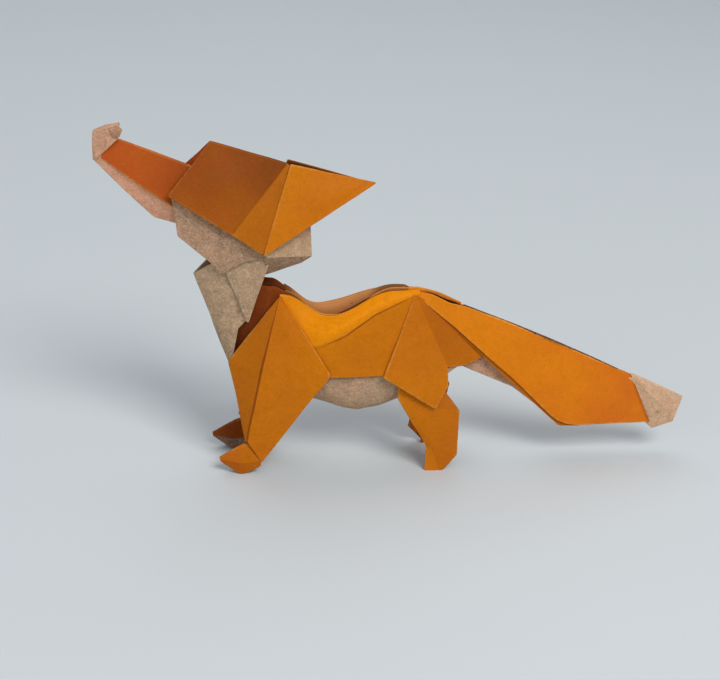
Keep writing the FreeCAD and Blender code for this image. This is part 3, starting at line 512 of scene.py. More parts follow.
def make_piece(name: str, sheets: list[Sheet], paper: PaperSet, seed: int) -> bpy.types.Object:
    """Makes one piece of the visual model from runs of the sheet.

    Args:
        name: name of the piece.
        sheets: runs that the piece holds.
        paper: its materials.
        seed: seed of its unevenness.

    Returns:
        The new object.
    """
    built = [sheet.build(seed) for sheet in sheets]
    shifts = np.concatenate([[0], np.cumsum([len(part["points"]) for part in built])])
    triangles = np.concatenate([part["triangles"] + shift for part, shift in zip(built, shifts)])
    keys = ("points", "kinds", "fold", "dye")
    points, kinds, fold, dye = (np.concatenate([part[key] for part in built]) for key in keys)
    points = (points - np.array([MIDDLE_X, 0.0, 0.0])) * MM
    points[:, 2] = np.maximum(points[:, 2], 0.0)
    mesh = bpy.data.meshes.new(name)
    mesh.vertices.add(len(points))
    mesh.loops.add(triangles.size)
    mesh.polygons.add(len(triangles))
    mesh.vertices.foreach_set("co", points.astype(np.float32).reshape(-1))
    mesh.loops.foreach_set("vertex_index", triangles.astype(np.int32).reshape(-1))
    mesh.polygons.foreach_set("loop_start", np.arange(0, triangles.size, 3, dtype=np.int32))
    for material in (paper.outer, paper.inner, paper.edge):
        mesh.materials.append(material)
    mesh.polygons.foreach_set("material_index", kinds.astype(np.int32))
    mesh.update(calc_edges=True)
    # dye holds the tint, then the painted shade, of each face.
    attributes = ("fold", "POINT", fold), ("tint", "FACE", dye[:, 0]), ("painted_shade", "FACE", dye[:, 1])
    for label, place, values in attributes:
        mesh.attributes.new(label, "FLOAT", place).data.foreach_set("value", values.astype(np.float32))
    mesh.validate()
    mesh.polygons.foreach_set("use_smooth", np.ones(len(mesh.polygons), dtype=bool))
    mesh.set_sharp_from_angle(angle=math.radians(SHARP_ANGLE))
    piece = bpy.data.objects.new(name, mesh)
    bpy.context.scene.collection.objects.link(piece)
    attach(piece, "root")
    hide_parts("folded_fox")
    LOG.info("%s: %d triangles", name, len(mesh.polygons))
    return piece


# ---------------------------------------------------------------------------
# Places on the fox, mm
# ---------------------------------------------------------------------------
def line(*corners: tuple[float, float, float]) -> np.ndarray:
    """Line of corners on the near side, each given by x, its distance out and its height."""
    return np.array(corners, dtype=float) * FAR


def both_sides(*rows: np.ndarray) -> np.ndarray:
    """Net that runs from the near hem over the middle plane to the far hem."""
    near = np.array(rows)
    return np.concatenate([near, near[::-1] * FAR])


def column(*values: float) -> np.ndarray:
    """One value for each row of a net."""
    return np.array(values, dtype=float)[:, None]


def ease(share: np.ndarray) -> np.ndarray:
    """Smooth step from 0 to 1 with level ends: half a cosine wave."""
    return (1.0 - np.cos(math.pi * np.clip(share, 0.0, 1.0))) / 2.0


@dataclass(frozen=True)
class TiltedFrame:
    """A tilted frame in the middle plane: along its line, out to the near side, and down."""

    x: float
    height: float
    heading: float
    slope: float

    def line(self, *corners: tuple[float, float, float]) -> np.ndarray:
        """Line of corners in the fox's own axes, each given by along, out and down."""
        along, out, down = np.array(corners, dtype=float).T
        angle = math.radians(self.slope)
        x = self.x + self.heading * (along * math.cos(angle) + down * math.sin(angle))
        z = self.height + along * math.sin(angle) - down * math.cos(angle)
        return np.stack([x, -out, z], axis=1)


HEAD = TiltedFrame(-27.9, 77.8, -1.0, 16.6)
TAIL = TiltedFrame(6.0, 45.3, 1.0, -23.5)


# ---------------------------------------------------------------------------
# Sub-assemblies
# ---------------------------------------------------------------------------
PieceRow = tuple[str, list[Sheet], PaperSet, int]  # name, runs, paper and seed of a piece


@dataclass
class Part:
    """A sub-assembly of the fox, with its coloured and its pale paper."""

    paper: PaperSet
    pale: PaperSet

    def pieces(self) -> list[PieceRow]:
        """Name, runs, paper and seed of each piece."""
        raise NotImplementedError

    def build(self) -> list[bpy.types.Object]:
        """Makes the pieces in their order."""
        return [make_piece(*piece) for piece in self.pieces()]


@dataclass
class Head(Part):
    """Hood, ears, cheeks and ruff."""

    hood_spread: float = 0.4146  # outward step of the hood for 1 mm down
    turn: float = 0.7  # width of a pressed fold
    hem: float = 3.0  # turned-in margin
    dye_face: float = 0.62
    dye_side: float = 0.36

    def hood_out(self, down: float) -> float:
        """Distance of the hood from the middle plane: it falls away evenly from the ridge."""
        return 0.3 + self.hood_spread * down

    def hood(self) -> Sheet:
        """The hood over the forehead, folded under at its front and lower edges."""
        out, turn = self.hood_out, self.turn
        ridge = HEAD.line((14.6, 0.3, 1.9), (18.4, 0.3, 1.6), (18.9, 0.3, 0.0), (0.05, 0.3, 0.0),
                          (-0.2, 0.3, 0.1), (-0.5, 0.3, 0.2), (-3.2, 0.3, 1.1))
        edge = HEAD.line((20.4, 4.6, 13.6), (24.7, out(13.6) - turn, 13.6), (25.1, out(13.7), 13.7),
                         (8.95, out(18.25), 18.1), (8.45, out(18.25) - 0.4, 18.2),
                         (0.3, 8.5, 20.7), (-3.2, 6.6, 17.4))
        origin, ahead = HEAD.line((0, 0, 0), (-0.5, 0, 0))
        inward = np.array([0.0, turn, 0.0])
        lifts = HEAD.line(*[(back, 0, -self.hem) for back in (-2.6, -2.6, -2.6, 0, 0, 0, 0)]) - origin
        turned = edge + inward
        turned[1] = turned[1] + ahead - origin
        face, side = self.dye_face, self.dye_side
        tint = [1.0, 1.0, face + 0.12, face, side, side, side]
        # Painted shade over the face and sides of the hood, deepest along the ridge over the face and toward
        # the back.
        painted_shade = np.tile([0.0, 0.0, 0.47, 0.42, 0.39, 0.39, 0.6], (8, 1))
        painted_shade[3:5, 2:4] = 0.53, 0.66
        crown = np.outer([0, 0, 1, 0, 1, 0, 0], [0, 0, 0.6, 0, 0.25, 0])
        corners = both_sides(edge + 3.4 * inward + lifts, turned, edge, ridge)
        return Sheet(corners, 0.3, [0.3, 0.28, 0.2, 0.2, 0.3], crown, tint, painted_shade)

    def ear(self, far: bool) -> Sheet:
        """One ear: a flat pocket over the back of the hood, its three edges folded in."""
        rise, ahead = (0.75, 0.0) if far else (0.1, -0.85)
        tip = (-20.9, 0.95, -0.9) if far else (-21.5, 0.95, -1.6)
        top = HEAD.line((-3.0, 0.1, 2.6), (ahead - 0.3, 0.35, 0.6 - rise), (ahead, 0.75, -rise), tip)
        low = HEAD.line((-3.6, 6.6, 16.6), (-0.7, 8.0, 20.6), (-0.25, 8.75, 20.9), tip)
        turn_top, turn_low = top + (0.0, 0.55, -0.15), low + (0.0, 0.6, 0.1)
        inner_top, inner_low = turn_top + (0.2, 0.5, -2.4), turn_low + (1.9, 0.5, 1.7)
        turn_top[-1], turn_low[-1] = top[-1] + (-0.5, 0.25, -0.1), low[-1] + (-0.6, 0.3, -0.2)
        inner_top[-1], inner_low[-1] = top[-1] + (-4.0, 0.4, -1.0), low[-1] + (-4.0, 0.4, -1.2)
        corners = np.array([inner_top, turn_top, top, low, turn_low, inner_low])
        crown = np.outer([0, 0, 1, 0, 0], [0, 0, 0.6])
        # Deeper tint and painted shade at the base, where the ear goes under the hood.
        tint = np.tile([0.6, 0.22, 0.24, 0.4], (6, 1))
        painted_shade = np.tile([1.0, 0.22, 0.22, 0.16], (6, 1))
        # The far ear's turned rows take deeper tint and painted shade.
        if far:
            tint[:2], painted_shade[:2] = 0.7, 0.9
        return Sheet(corners, [0.3, 0.25, 0.25, 0.3], 0.3, crown, tint, painted_shade, flip=True).on_side(far)

    def cheeks(self) -> Sheet:
        """Pale cheeks, joined under the jaw and open in front for the snout."""
        top = HEAD.line((19.8, 1.2, 14.6), (23.6, 3.9, 14.0), (24.2, 4.9, 13.9), (14.5, 6.0, 15.4),
                        (9.0, 6.4, 16.8), (0.6, 6.9, 18.6), (-1.8, 5.7, 18.2))
        low = HEAD.line((15.0, 0.7, 22.8), (19.3, 1.4, 23.6), (19.8, 2.2, 23.8), (9.9, 4.2, 27.5),
                        (7.4, 4.8, 29.3), (3.3, 5.5, 24.4), (-1.6, 5.3, 22.6))
        crown = np.outer([1, 1, 0, 1, 1], [0, 0, 0.3, 0, 0, 0])
        tint = [0.6, 0.6, 0.55, 0.5, 0.45, 0.45, 0.3]
        # Painted shade, darkest along the top under the hood's edge and deeper toward the back; less at the
        # lower front.
        painted_shade = np.array([0.0, 0.0, 0.02, 0.08, 0.14, 0.14, 0.14]) + column(0.5, 0.22, 0.13, 0.13, 0.22, 0.5)
        painted_shade[2:4, :4] -= 0.13
        corners = both_sides(top, 0.62 * top + 0.38 * low, low)
        folds = [1.5, 0.5, 0.5, 1.5], [0.4, 0.4, 2.6, 0.8, 0.6]
        return Sheet(corners, *folds, crown, tint, painted_shade, uneven=0.22, flip=True)

    def ruff(self) -> Sheet:
        """Pale wedge behind the cheek, between the ears."""
        corners = both_sides(
            HEAD.line((1.4, 1.0, 23.6), (-2.6, 0.5, 26.6), (-9.6, 0.3, 22.2)),
            HEAD.line((1.4, 4.6, 24.6), (-3.0, 2.7, 27.3), (-10.6, 0.7, 22.6)),
            HEAD.line((2.1, 5.4, 17.6), (-1.3, 6.7, 21.6), (-12.6, 0.45, 20.4)),
            HEAD.line((2.0, 0.3, 2.4), (-1.6, 0.3, 1.8), (-9.8, 0.3, 12.6)),
        )
        crown = np.outer([0, 0.15, 0.35, 0, 0.35, 0.15, 0], [0, 1])
        # Painted shade on the lower faces of the wedge.
        painted_shade = column(0.38, 0.38, 0.05, 0.0, 0.05, 0.38, 0.38)
        return Sheet(corners, [0.4, 0.35, 0.3, 0.3, 0.35, 0.4], 0.6, crown, 0.28, painted_shade, uneven=0.15)

    def inner_wall(self) -> Sheet:
        """Plain layer across the inside of the head, behind the snout."""
        edge = HEAD.line((12.5, 3.2, 8.0), (12.5, 5.6, 15.2), (12.5, 3.5, 25.0))
        # Painted shade: the wall stands inside the head.
        return Sheet(both_sides(edge), 0.3, 0.4, 0.0, 0.7, 0.5)

    def pieces(self) -> list[PieceRow]:
        """Name, runs, paper and seed of each piece."""
        return [
            ("head_inner_wall", [self.inner_wall()], self.pale, 16),
            ("hood", [self.hood()], self.paper, 11),
            ("near_ear", [self.ear(False)], self.paper, 12),
            ("far_ear", [self.ear(True)], self.paper, 13),
            ("cheeks", [self.cheeks()], self.pale, 14),
            ("ruff", [self.ruff()], self.pale, 15),
        ]


@dataclass
class Snout(Part):
    """Snout, jaw and nose cap."""

    dye: float = 0.86

    def bridge(self) -> Sheet:
        """The upper snout: two sides off a ridge, folded under along the jaw."""
        ridge = HEAD.line((21.0, 0.3, 7.1), (32.0, 0.3, 6.0), (42.0, 0.3, 5.3))
        lower = HEAD.line((21.0, 3.7, 17.4), (32.0, 2.5, 14.1), (41.9, 1.3, 10.6))
        hem = HEAD.line((21.0, 2.0, 14.9), (32.0, 1.2, 12.2), (41.4, 0.3, 9.4))
        crown = column(0, 0, 0.18, 0, 0.18, 0, 0)
        corners = both_sides(hem, lower + (0.0, 0.6, 0.1), lower, ridge)
        # Painted shade deepest at the root, under the hood, and less toward the tip.
        return Sheet(corners, 0.28, 3.0, crown, self.dye, [0.36, 0.18, 0.08], thickness=0.3, flip=True)

    def jaw(self) -> Sheet:
        """The pale jaw under it, keeled along the middle."""
        keel = HEAD.line((20.5, 0.3, 21.5), (26.2, 0.3, 21.5), (34.0, 0.3, 17.3), (43.3, 0.3, 11.9))
        edge = HEAD.line((20.5, 3.1, 16.8), (26.2, 2.6, 14.8), (34.0, 1.9, 12.2), (42.6, 0.8, 9.6))
        # Slight painted shade at the root; toward the chin it is painted a little lighter.
        tint, painted_shade = [1.0, 1.0, 1.0, 0.7], [0.02, -0.05, -0.08, -0.06]
        finish = {"thickness": 0.3, "uneven": 0.14}
        return Sheet(both_sides(edge, keel), 0.28, [0.5, 2.0], column(0.2, 0, 0.2), tint, painted_shade, **finish)

    def nose(self) -> list[Sheet]:
        """The nose cap, wrapped round the tip, and the small corner turned up on it."""
        rear = HEAD.line((43.2, 0.95, 11.7), (41.3, 1.75, 8.2), (39.5, 2.0, 4.8), (40.0, 1.4, 2.1),
                         (40.3, 0.2, 1.8))
        front = HEAD.line((43.5, 0.35, 11.9), (44.7, 0.5, 8.3), (45.4, 0.65, 5.2), (43.1, 1.2, 3.6),
                          (42.9, 0.2, 3.4))
        crown = np.outer([0.2, 0, 0.2], [1, 1, 1, 0])
        corners, folds = both_sides(rear, front), [0.7, 0.5, 0.3]
        # Slight painted shade on the cap.
        cap = Sheet(corners, 0.3, folds, crown, 0.7, 0.05, thickness=0.32, pitch=0.6)
        corner = HEAD.line((42.3, 1.5, 3.2), (40.3, 1.7, 1.9), (41.0, 2.35, 4.0), (39.1, 2.35, 2.4),
                           (40.3, 2.0, 5.0), (39.3, 2.2, 4.3)).reshape(3, 2, 3)
        # Painted shade on the turned corner.
        turned = Sheet(corner, 0.3, 0.3, 0.1, 0.8, 0.3, thickness=0.3, pitch=0.5, flip=True)
        return [cap, turned]

    def pieces(self) -> list[PieceRow]:
        """Name, runs, paper and seed of each piece."""
        return [
            ("snout", [self.bridge()], self.paper, 21),
            ("jaw", [self.jaw()], self.pale, 22),
            ("nose_cap", self.nose(), self.pale, 23),
        ]


@dataclass
class Neck(Part):
    """Breast, throat flaps and the coloured hollow behind them."""

    half: float = 4.0
    flap_half: float = 5.0

    def breast(self) -> Sheet:
        """Pale breast, folded along its keel like a prow and open above and behind."""
        half = self.half
        levels = np.array([
            line((-37.2, half - 1.2, 54.6), (-36.6, half, 54.6), (-45.0, 3.1, 54.5), (-49.8, 0.3, 50.4)),
            line((-38.2, half - 1.3, 40.4), (-37.2, half, 39.3), (-42.2, 3.0, 40.0), (-46.0, 0.3, 39.9)),
            line((-40.3, half - 1.4, 38.0), (-39.3, half, 37.4), (-42.8, 2.9, 37.2), (-45.1, 0.3, 36.9)),
            line((-40.9, 2.6, 31.5), (-40.4, 3.4, 31.0), (-41.9, 2.2, 30.9), (-43.0, 0.3, 30.9)),
            line((-41.0, 1.9, 28.4), (-40.9, 2.1, 28.0), (-41.3, 1.2, 27.2), (-41.6, 0.3, 26.8)),
        ])
        folds = [0.4, 1.6, 0.35, 0.35, 1.6, 0.4], [0.35, 0.35, 0.8]
        crown = column(0, 0.25, 0.25, 0, 0.25, 0.25, 0)
        # Painted shade, a little deeper low down and on the far side's upper panels.
        painted_shade = np.tile([0.15, 0.15, 0.2, 0.2], (7, 1))
        painted_shade[4:, 0] = 0.24
        corners = both_sides(*levels.transpose(1, 0, 2))
        return Sheet(corners, *folds, crown, 0.22, painted_shade, uneven=0.18, flip=True)

    def throat_flap(self, far: bool) -> Sheet:
        """Pale triangle that hangs from under the cheek over the breast."""
        rear, tip = line((-31.6, self.flap_half, 56.0), (-37.1, self.flap_half, 39.5))
        front = HEAD.line((10.1, 4.0, 24.3))[0]
        inward = np.array([0.0, 0.55, 0.0])
        deep_tip = tip + 1.4 * inward + (0.4, 0.0, 2.6)
        corners = np.array([
            (rear + 1.8 * inward + (-2.2, 0.0, 0.0), deep_tip),
            (rear + inward, tip + inward + (-0.1, 0.0, 0.5)),
            (rear, tip),
            (front, tip),
            (front + inward, tip + inward + (0.15, 0.0, 0.4)),
            (front + 1.8 * inward + (2.2, 0.0, 0.6), deep_tip),
        ])
        crown = column(0, 0, 0.35, 0, 0)
        # Even painted shade over the flap.
        return Sheet(corners, 0.25, 0.3, crown, 0.2, 0.2, uneven=0.14, flip=True).on_side(far)

    def hollow(self) -> Sheet:
        """Coloured trough behind the breast that runs into the groove of the back."""
        corners = both_sides(
            line((-40.6, 1.6, 28.6), (-38.0, 3.2, 28.6), (-34.0, 4.0, 29.0), (-29.0, 4.0, 29.5)),
            line((-39.0, 2.6, 38.5), (-35.0, 3.4, 38.5), (-31.4, 3.6, 39.0), (-27.6, 2.6, 39.5)),
            line((-39.4, 2.8, 49.4), (-32.6, 3.0, 47.9), (-30.4, 2.8, 47.8), (-25.6, 1.7, 44.4)),
            line((-38.6, 0.3, 46.6), (-32.2, 0.3, 45.2), (-30.0, 0.3, 45.0), (-25.4, 0.3, 42.8)),
        )
        crown = column(0, 0.3, 0, 0, 0, 0.3, 0)
        # Deep tint and painted shade: the hollow is painted dark, darkest down the middle.
        tint = column(0.9, 0.85, 0.8, 1.0, 1.0, 0.8, 0.85, 0.9)
        painted_shade = column(0.9, 0.7, 0.6, 1.0, 1.0, 0.6, 0.7, 0.9)
        return Sheet(corners, [2.0, 0.3, 0.5, 0.5, 0.3, 2.0], [1.6, 0.9], crown, tint, painted_shade)

    def pieces(self) -> list[PieceRow]:
        """Name, runs, paper and seed of each piece."""
        return [
            ("breast", [self.breast()], self.pale.lined(), 31),
            ("near_throat_flap", [self.throat_flap(False)], self.pale, 32),
            ("far_throat_flap", [self.throat_flap(True)], self.pale, 33),
            ("neck_hollow", [self.hollow()], self.paper, 34),
        ]


@dataclass
class Torso(Part):
    """Back, flanks and belly."""

    # Duller, browner copy of the coloured paper that paints the shade of the groove.
    groove_shade: PaperSet
    front: float = -30.6
    rear: float = 5.0
    dip_x: float = -18.2
    dip_height: float = 40.45
    shoulder_height: float = 45.75
    hip_height: float = 45.8
    flank_height: float = 26.2
    count: int = 60

    def stations(self) -> np.ndarray:
        """Places along the body."""
        return np.linspace(self.front, self.rear, self.count)

    def back_height(self, x: np.ndarray) -> np.ndarray:
        """Height of the back's edges: eased from the dip up to the shoulders and the hips."""
        fore = ease((self.dip_x - x) / (self.dip_x + 29.6))
        aft = ease((x - self.dip_x) / (-1.0 - self.dip_x))
        share = np.where(x < self.dip_x, fore, aft)
        top = np.where(x < self.dip_x, self.shoulder_height, self.hip_height)
        return self.dip_height + (top - self.dip_height) * share

    def groove_half(self, x: np.ndarray) -> np.ndarray:
        """Half width of the groove, eased between its width at the neck, pinch, dip and hips."""
        places = np.array([-30.0, -24.8, -16.0, -1.0, 6.0])
        widths = np.array([3.2, 1.9, 4.7, 1.6, 0.6])
        run = np.clip(np.searchsorted(places, x) - 1, 0, 3)
        share = ease((x - places[run]) / (places[run + 1] - places[run]))
        return widths[run] + (widths[run + 1] - widths[run]) * share

    def crease(self, x: np.ndarray) -> tuple[np.ndarray, np.ndarray]:
        """Half width and height of the crease from the elbow up to the haunch, straight lines."""
        places = [-31.0, -20.3, -13.6, -6.3, 3.7, 6.0]
        heights = np.interp(x, places, [30.5, 33.2, 36.1, 40.9, 44.6, 44.6])
        halves = np.interp(x, places, [5.2, 7.2, 6.6, 4.9, 2.0, 1.6])
        return np.maximum(halves, self.groove_half(x) + 0.25), np.minimum(heights, self.back_height(x) - 0.9)

    def flank_out(self, x: np.ndarray) -> np.ndarray:
        """Half width at the lower edge of the flanks, tucked in under the legs at both ends."""
        return np.interp(x, [-31.0, -17.5, -4.5, 5.0], [5.2, 8.9, 8.9, 6.9])

    def flanks(self) -> Sheet:
        """Both flanks and the groove between them, one run of the sheet."""
        x = self.stations()[2:]
        half, edge = self.groove_half(x), self.back_height(x)
        fold_half, fold = self.crease(x)
        low, floor = self.flank_out(x), np.full_like(x, self.flank_height)
        puff = 1.5 * np.sin(math.pi * np.clip((x + 33.0) / 37.5, 0.0, 1.0)) ** 0.8
        section = (
            (low - 1.6, floor + 3.0),
            (low - 0.7, floor + 0.15),
            (low, floor),
            (fold_half, fold),
            (half + (fold_half - half) * 0.86 + puff * 0.62, edge + (fold - edge) * 0.86),
            (half + (fold_half - half) * 0.5 + puff, edge + (fold - edge) * 0.42),
            (half + 0.25, edge),
            (half - 0.35, edge - 0.05),
            (half * 0.12, edge - half * 0.62 - 0.3),
        )
        corners = both_sides(*[np.stack([x, -out, height], axis=1) for out, height in section])
        folds = [0.3, 0.3, 0.3, 0.45, 1.3, 1.0, 0.28, 0.35]
        # Painted shade: the lower flank darker than the band above the crease, and the groove darkest, with a
        # deeper tint, toward its floor.
        tint = [0.25, 0.25, 0.25, 0.22, 0.1, 0.04, 0.08, 0.3, 0.4]
        painted_shade = [0.27, 0.27, 0.27, 0.24, 0.1, 0.0, 0.05, 0.6, 0.9]
        tint, painted_shade = (column(*near, *near[::-1]) for near in (tint, painted_shade))
        return Sheet(corners, folds + folds[::-1], 0.05, 0.0, tint, painted_shade, uneven=0.16, pitch=0.75)

    def lip(self, far: bool) -> Sheet:
        """A second layer that lines the groove and stands a little above its edge.

        Its rise is eased up toward the withers and the hips, where the groove takes deeper painted shade as
        well.
        """
        x = np.linspace(-28.0, 4.6, 50)
        withers, hips = ease((-21.5 - x) / 6.0), ease((x + 7.0) / 5.0)
        half, edge = self.groove_half(x), self.back_height(x)
        rise = 0.24 + 0.73 * withers + 0.5 * hips - 1.7 * ease((x - 1.2) / 3.4)
        section = (
            (-0.03 * half, edge - 0.6 * half - 0.12),
            (-0.27 * half, edge - 0.47 * half),
            (-0.5 * half, edge - 0.35 * half + 0.05),
            (0.45 - half, edge + rise),
        )
        corners = np.array([np.stack([x, side, height], axis=1) for side, height in section])
        ends = 0.75 * ease((-24.0 - x) / 4.0) + 0.62 * ease((x + 8.0) / 4.0)
        # Painted shade deepest low in the groove, with a deeper tint.
        tint, painted_shade = column(0.85, 0.6, 0.4, 0.1), column(0.95, 0.42, 0.16, 0.0)
        if far:
            # The far wall takes deeper painted shade toward the withers and the hips.
            painted_shade = painted_shade + np.outer([0, 0.5, 0.9, 0.9], ends)
        else:
            # The near wall takes deeper tint and painted shade where the groove pinches, and more painted
            # shade toward the withers and the hips.
            pinch = 0.9 * ease((x + 17.0) / 3.0) * ease((-6.0 - x) / 2.5)
            tint = tint + np.outer([0.0, 0.3, 0.6, 0.9], pinch)
            painted_shade = painted_shade + np.outer([0, 0.5, 0.9, 0.1], ends)
            painted_shade += np.outer([0, 0.3, 0.8, 1.0], pinch) + np.outer([0, 0, 0, 0.3], ease((-20.0 - x) / 4.0))
        return Sheet(corners, [0.4, 1.0], 0.05, 0.0, tint, painted_shade, thickness=0.28, flip=True).on_side(far)

    def saddle(self) -> Sheet:
        """The last layer of the back, a tongue that lies over the root of the tail."""
        ridge = line((-1.0, 0.3, 44.8), (2.2, 0.3, 46.05), (5.2, 0.3, 46.0), (9.1, 0.3, 44.88),
                     (11.7, 0.3, 43.75), (15.6, 0.15, 41.9))
        low = line((-1.0, 0.7, 44.6), (2.2, 1.1, 45.65), (5.2, 1.3, 45.5), (8.6, 1.4, 45.0),
                   (11.2, 1.3, 43.65), (15.4, 0.35, 41.7))
        corners = both_sides(low + (0.0, 0.7, -0.15), low, ridge)
        corners[4:] += (0.0, 0.1, -0.7)  # the far edge is tucked down
        # Deeper tint and painted shade at the tucked edges; the ridge is painted a little lighter.
        tint = column(0.8, 0.6, 0.15, 0.15, 0.6, 0.8)
        painted_shade = column(0.8, 0.36, -0.02, -0.02, 0.36, 0.8)
        return Sheet(corners, [0.3, 0.4, 0.25, 0.4], 1.5, 0.0, tint, painted_shade, thickness=0.28, pitch=0.7)

    def belly(self) -> Sheet:
        """Pale belly: a soft keel slung between the flanks, about a quarter ellipse to each side."""
        x = self.stations()
        low = self.flank_out(x) - 1.1
        keel = np.interp(x, [-31.0, -9.6, 5.0], [21.0, 13.4, 18.6])
        keel = keel + 0.35 * np.sin(x * 0.55) * np.exp(-((x + 9.6) / 9.0) ** 2)
        rows = [np.stack([x, -low + 0.5, np.full_like(x, self.flank_height + 4.0)], axis=1)]
        for turn in np.linspace(0.0, 0.47 * math.pi, 6):
            height = self.flank_height - (self.flank_height - keel) * np.sin(turn) ** 0.94
            rows.append(np.stack([x, -low * np.cos(turn), height], axis=1))
        rows.append(np.stack([x, np.full_like(x, -0.3), keel], axis=1))
        folds = [1.2] * 6 + [0.6, 0.6] + [1.2] * 6
        # Painted shade: darker under the flank's edge and toward the keel, lightest partway down.
        painted_shade = [0.3, 0.24, 0.15, 0.07, 0.08, 0.2, 0.36, 0.46]
        painted_shade = column(*painted_shade, *painted_shade[::-1])
        return Sheet(both_sides(*rows), folds, 0.05, 0.0, 0.3, painted_shade, uneven=0.3, flip=True)

    def pieces(self) -> list[PieceRow]:
        """Name, runs, paper and seed of each piece."""
        return [
            ("flanks", [self.flanks()], self.paper, 41),
            ("back_layers", [self.lip(False), self.lip(True)], self.groove_shade, 42),
            ("saddle", [self.saddle()], self.paper, 44),
            ("belly", [self.belly()], self.pale, 43),
        ]


@dataclass
class Limb(Part):
    """A leg of one side. Below its top the leg leans by its step, which its foot takes in full."""

    far: bool = False
    step: float = 0.0  # shift of the foot toward the tail, mm
    top: float = 28.8  # height from which the leg leans, mm
    out: float = 7.0  # distance of the foot from the middle plane, mm

    def lean(self, *corners: tuple[float, float, float]) -> np.ndarray:
        """Line of corners of the leaning leg, each given by x, its distance out and its height."""
        x, out, z = np.array(corners, dtype=float).T
        reach = np.clip(z / self.top, 0.0, 1.0)
        return np.stack([x + self.step * (1.0 - reach), -out, z], axis=1)

    def named(self, name: str) -> str:
        """Name of a piece on this side."""
        return ("far_" if self.far else "near_") + name


@dataclass
class Foreleg(Limb):
    """Shoulder flap, leg and paw of one side."""

    def leg(self) -> Sheet:
        """The flap with its crease from the apex to the ankle, its edges turned in."""
        apex = (-29.4, 4.1, 45.6)
        back = 1.5 if self.far else 0.0
        front = self.lean(apex, (-41.8 + back, 4.5, 28.9), (-39.8 + back, 5.7, 20.2),
                          (-38.3 + back, 6.9, 12.0), (-37.5 + back, 7.8, 8.9))
        crease = self.lean(apex, (-33.4, 7.1, 28.3), (-35.3, 7.9, 18.4), (-36.6, 8.15, 12.0),
                           (-37.0, 8.1, 8.6))
        rear = self.lean(apex, (-17.0, 9.9, 27.0), (-22.2, 9.3, 19.7), (-28.0, 8.8, 11.2), (-33.6, 8.4, 3.2))
        front_in, front_deep = front + (0.3, 0.6, 0.0), front + (2.6, 0.9, 0.0)
        rear_in, rear_deep = rear + (-0.2, 0.65, 0.0), rear + (-3.0, 1.5, 0.0)
        rear_deep[4] = rear[4] + (-1.6, 1.2, 0.8)
        for turned in (front_in, front_deep, rear_in, rear_deep):
            turned[0] = crease[0] + (0.1, 0.3, -0.3)
        beside = crease + (-0.42, 0.2, 0.0)
        beside[0] = crease[0] + (-0.06, 0.03, 0.0)
        corners = np.array([front_deep, front_in, front, beside, crease, rear, rear_in, rear_deep])
        crown = np.zeros((4, 7))
        crown[:3, 4] = 0.55, 0.25, 0.25
        crown[0, 2] = 0.2
        # Painted shade: the front facet darker than the rear, and a painted shadow line with deeper tint
        # beside the crease.
        tint = [0.31] * 3 + [0.6] + [0.31] * 3
        painted_shade = [0.355] * 3 + [0.55] + [0.21] * 3
        folds = [0.9, 1.2, 1.0], [0.3, 0.3, 0.12, 0.16, 0.3, 0.3]
        sheet = Sheet(corners.transpose(1, 0, 2), *folds, crown, tint, painted_shade, uneven=0.16, flip=True)
        return sheet.on_side(self.far)

    def paw(self) -> tuple[Sheet, list[Sheet]]:
        """Pointed paw: an upper face and a lower face to each side, off a ridge from toe to heel."""
        upper, lower = [], []
        for side in (1.0, -1.0):
            ridge, edge = self.out + side * 0.3, 1.35 * side
            wide = self.out + edge
            crest = self.lean((-43.9, ridge, 3.9), (-39.9, ridge, 6.5), (-37.0, ridge, 8.0),
                              (-33.9, ridge, 5.2))
            crease = self.lean((-43.8, ridge, 3.45), (-39.4, self.out + edge * 1.08, 3.1),
                               (-36.9, self.out + edge * 1.05, 3.0), (-33.8, wide, 3.4))
            sole = self.lean((-43.5, ridge, 3.0), (-38.8, wide, 0.0), (-36.6, wide, 0.7),
                             (-33.9, self.out + edge * 0.95, 2.1))
            upper.append([crease, crest])
            lower.append([sole, crease])
        finish = {"pitch": 0.6, "uneven": 0.1}
        # The far paw takes deeper tint and painted shade: it stands in shadow.
        tint = np.array([0.45, 0.4, 0.32, 0.3]) + (0.35 if self.far else 0.0)
        painted_shade = 0.58 if self.far else 0.26
        top = Sheet(np.array(upper[0] + upper[1][::-1]), 0.28, [0.5, 0.8], 0.1, tint, painted_shade, **finish)
        # The lower faces take a deeper tint and a little more painted shade.
        tint = [0.6, 0.5, 0.42, 0.36]
        painted_shade = painted_shade + 0.06
        sides = [
            Sheet(np.array(rows), 0.3, [0.5, 0.6], 0.12, tint, painted_shade, flip=flip, **finish).on_side(self.far)
            for rows, flip in zip(lower, (False, True))
        ]
        return top.on_side(self.far), sides

    def pieces(self) -> list[PieceRow]:
        """Name, runs, paper and seed of each piece."""
        seed = 61 if self.far else 51
        top, sides = self.paw()
        return [
            (self.named("foreleg"), [self.leg()], self.paper.lined(), seed),
            (self.named("paw"), [top], self.paper, seed + 1),
            (self.named("paw_sides"), sides, self.pale if self.far else self.paper, seed + 1),
        ]


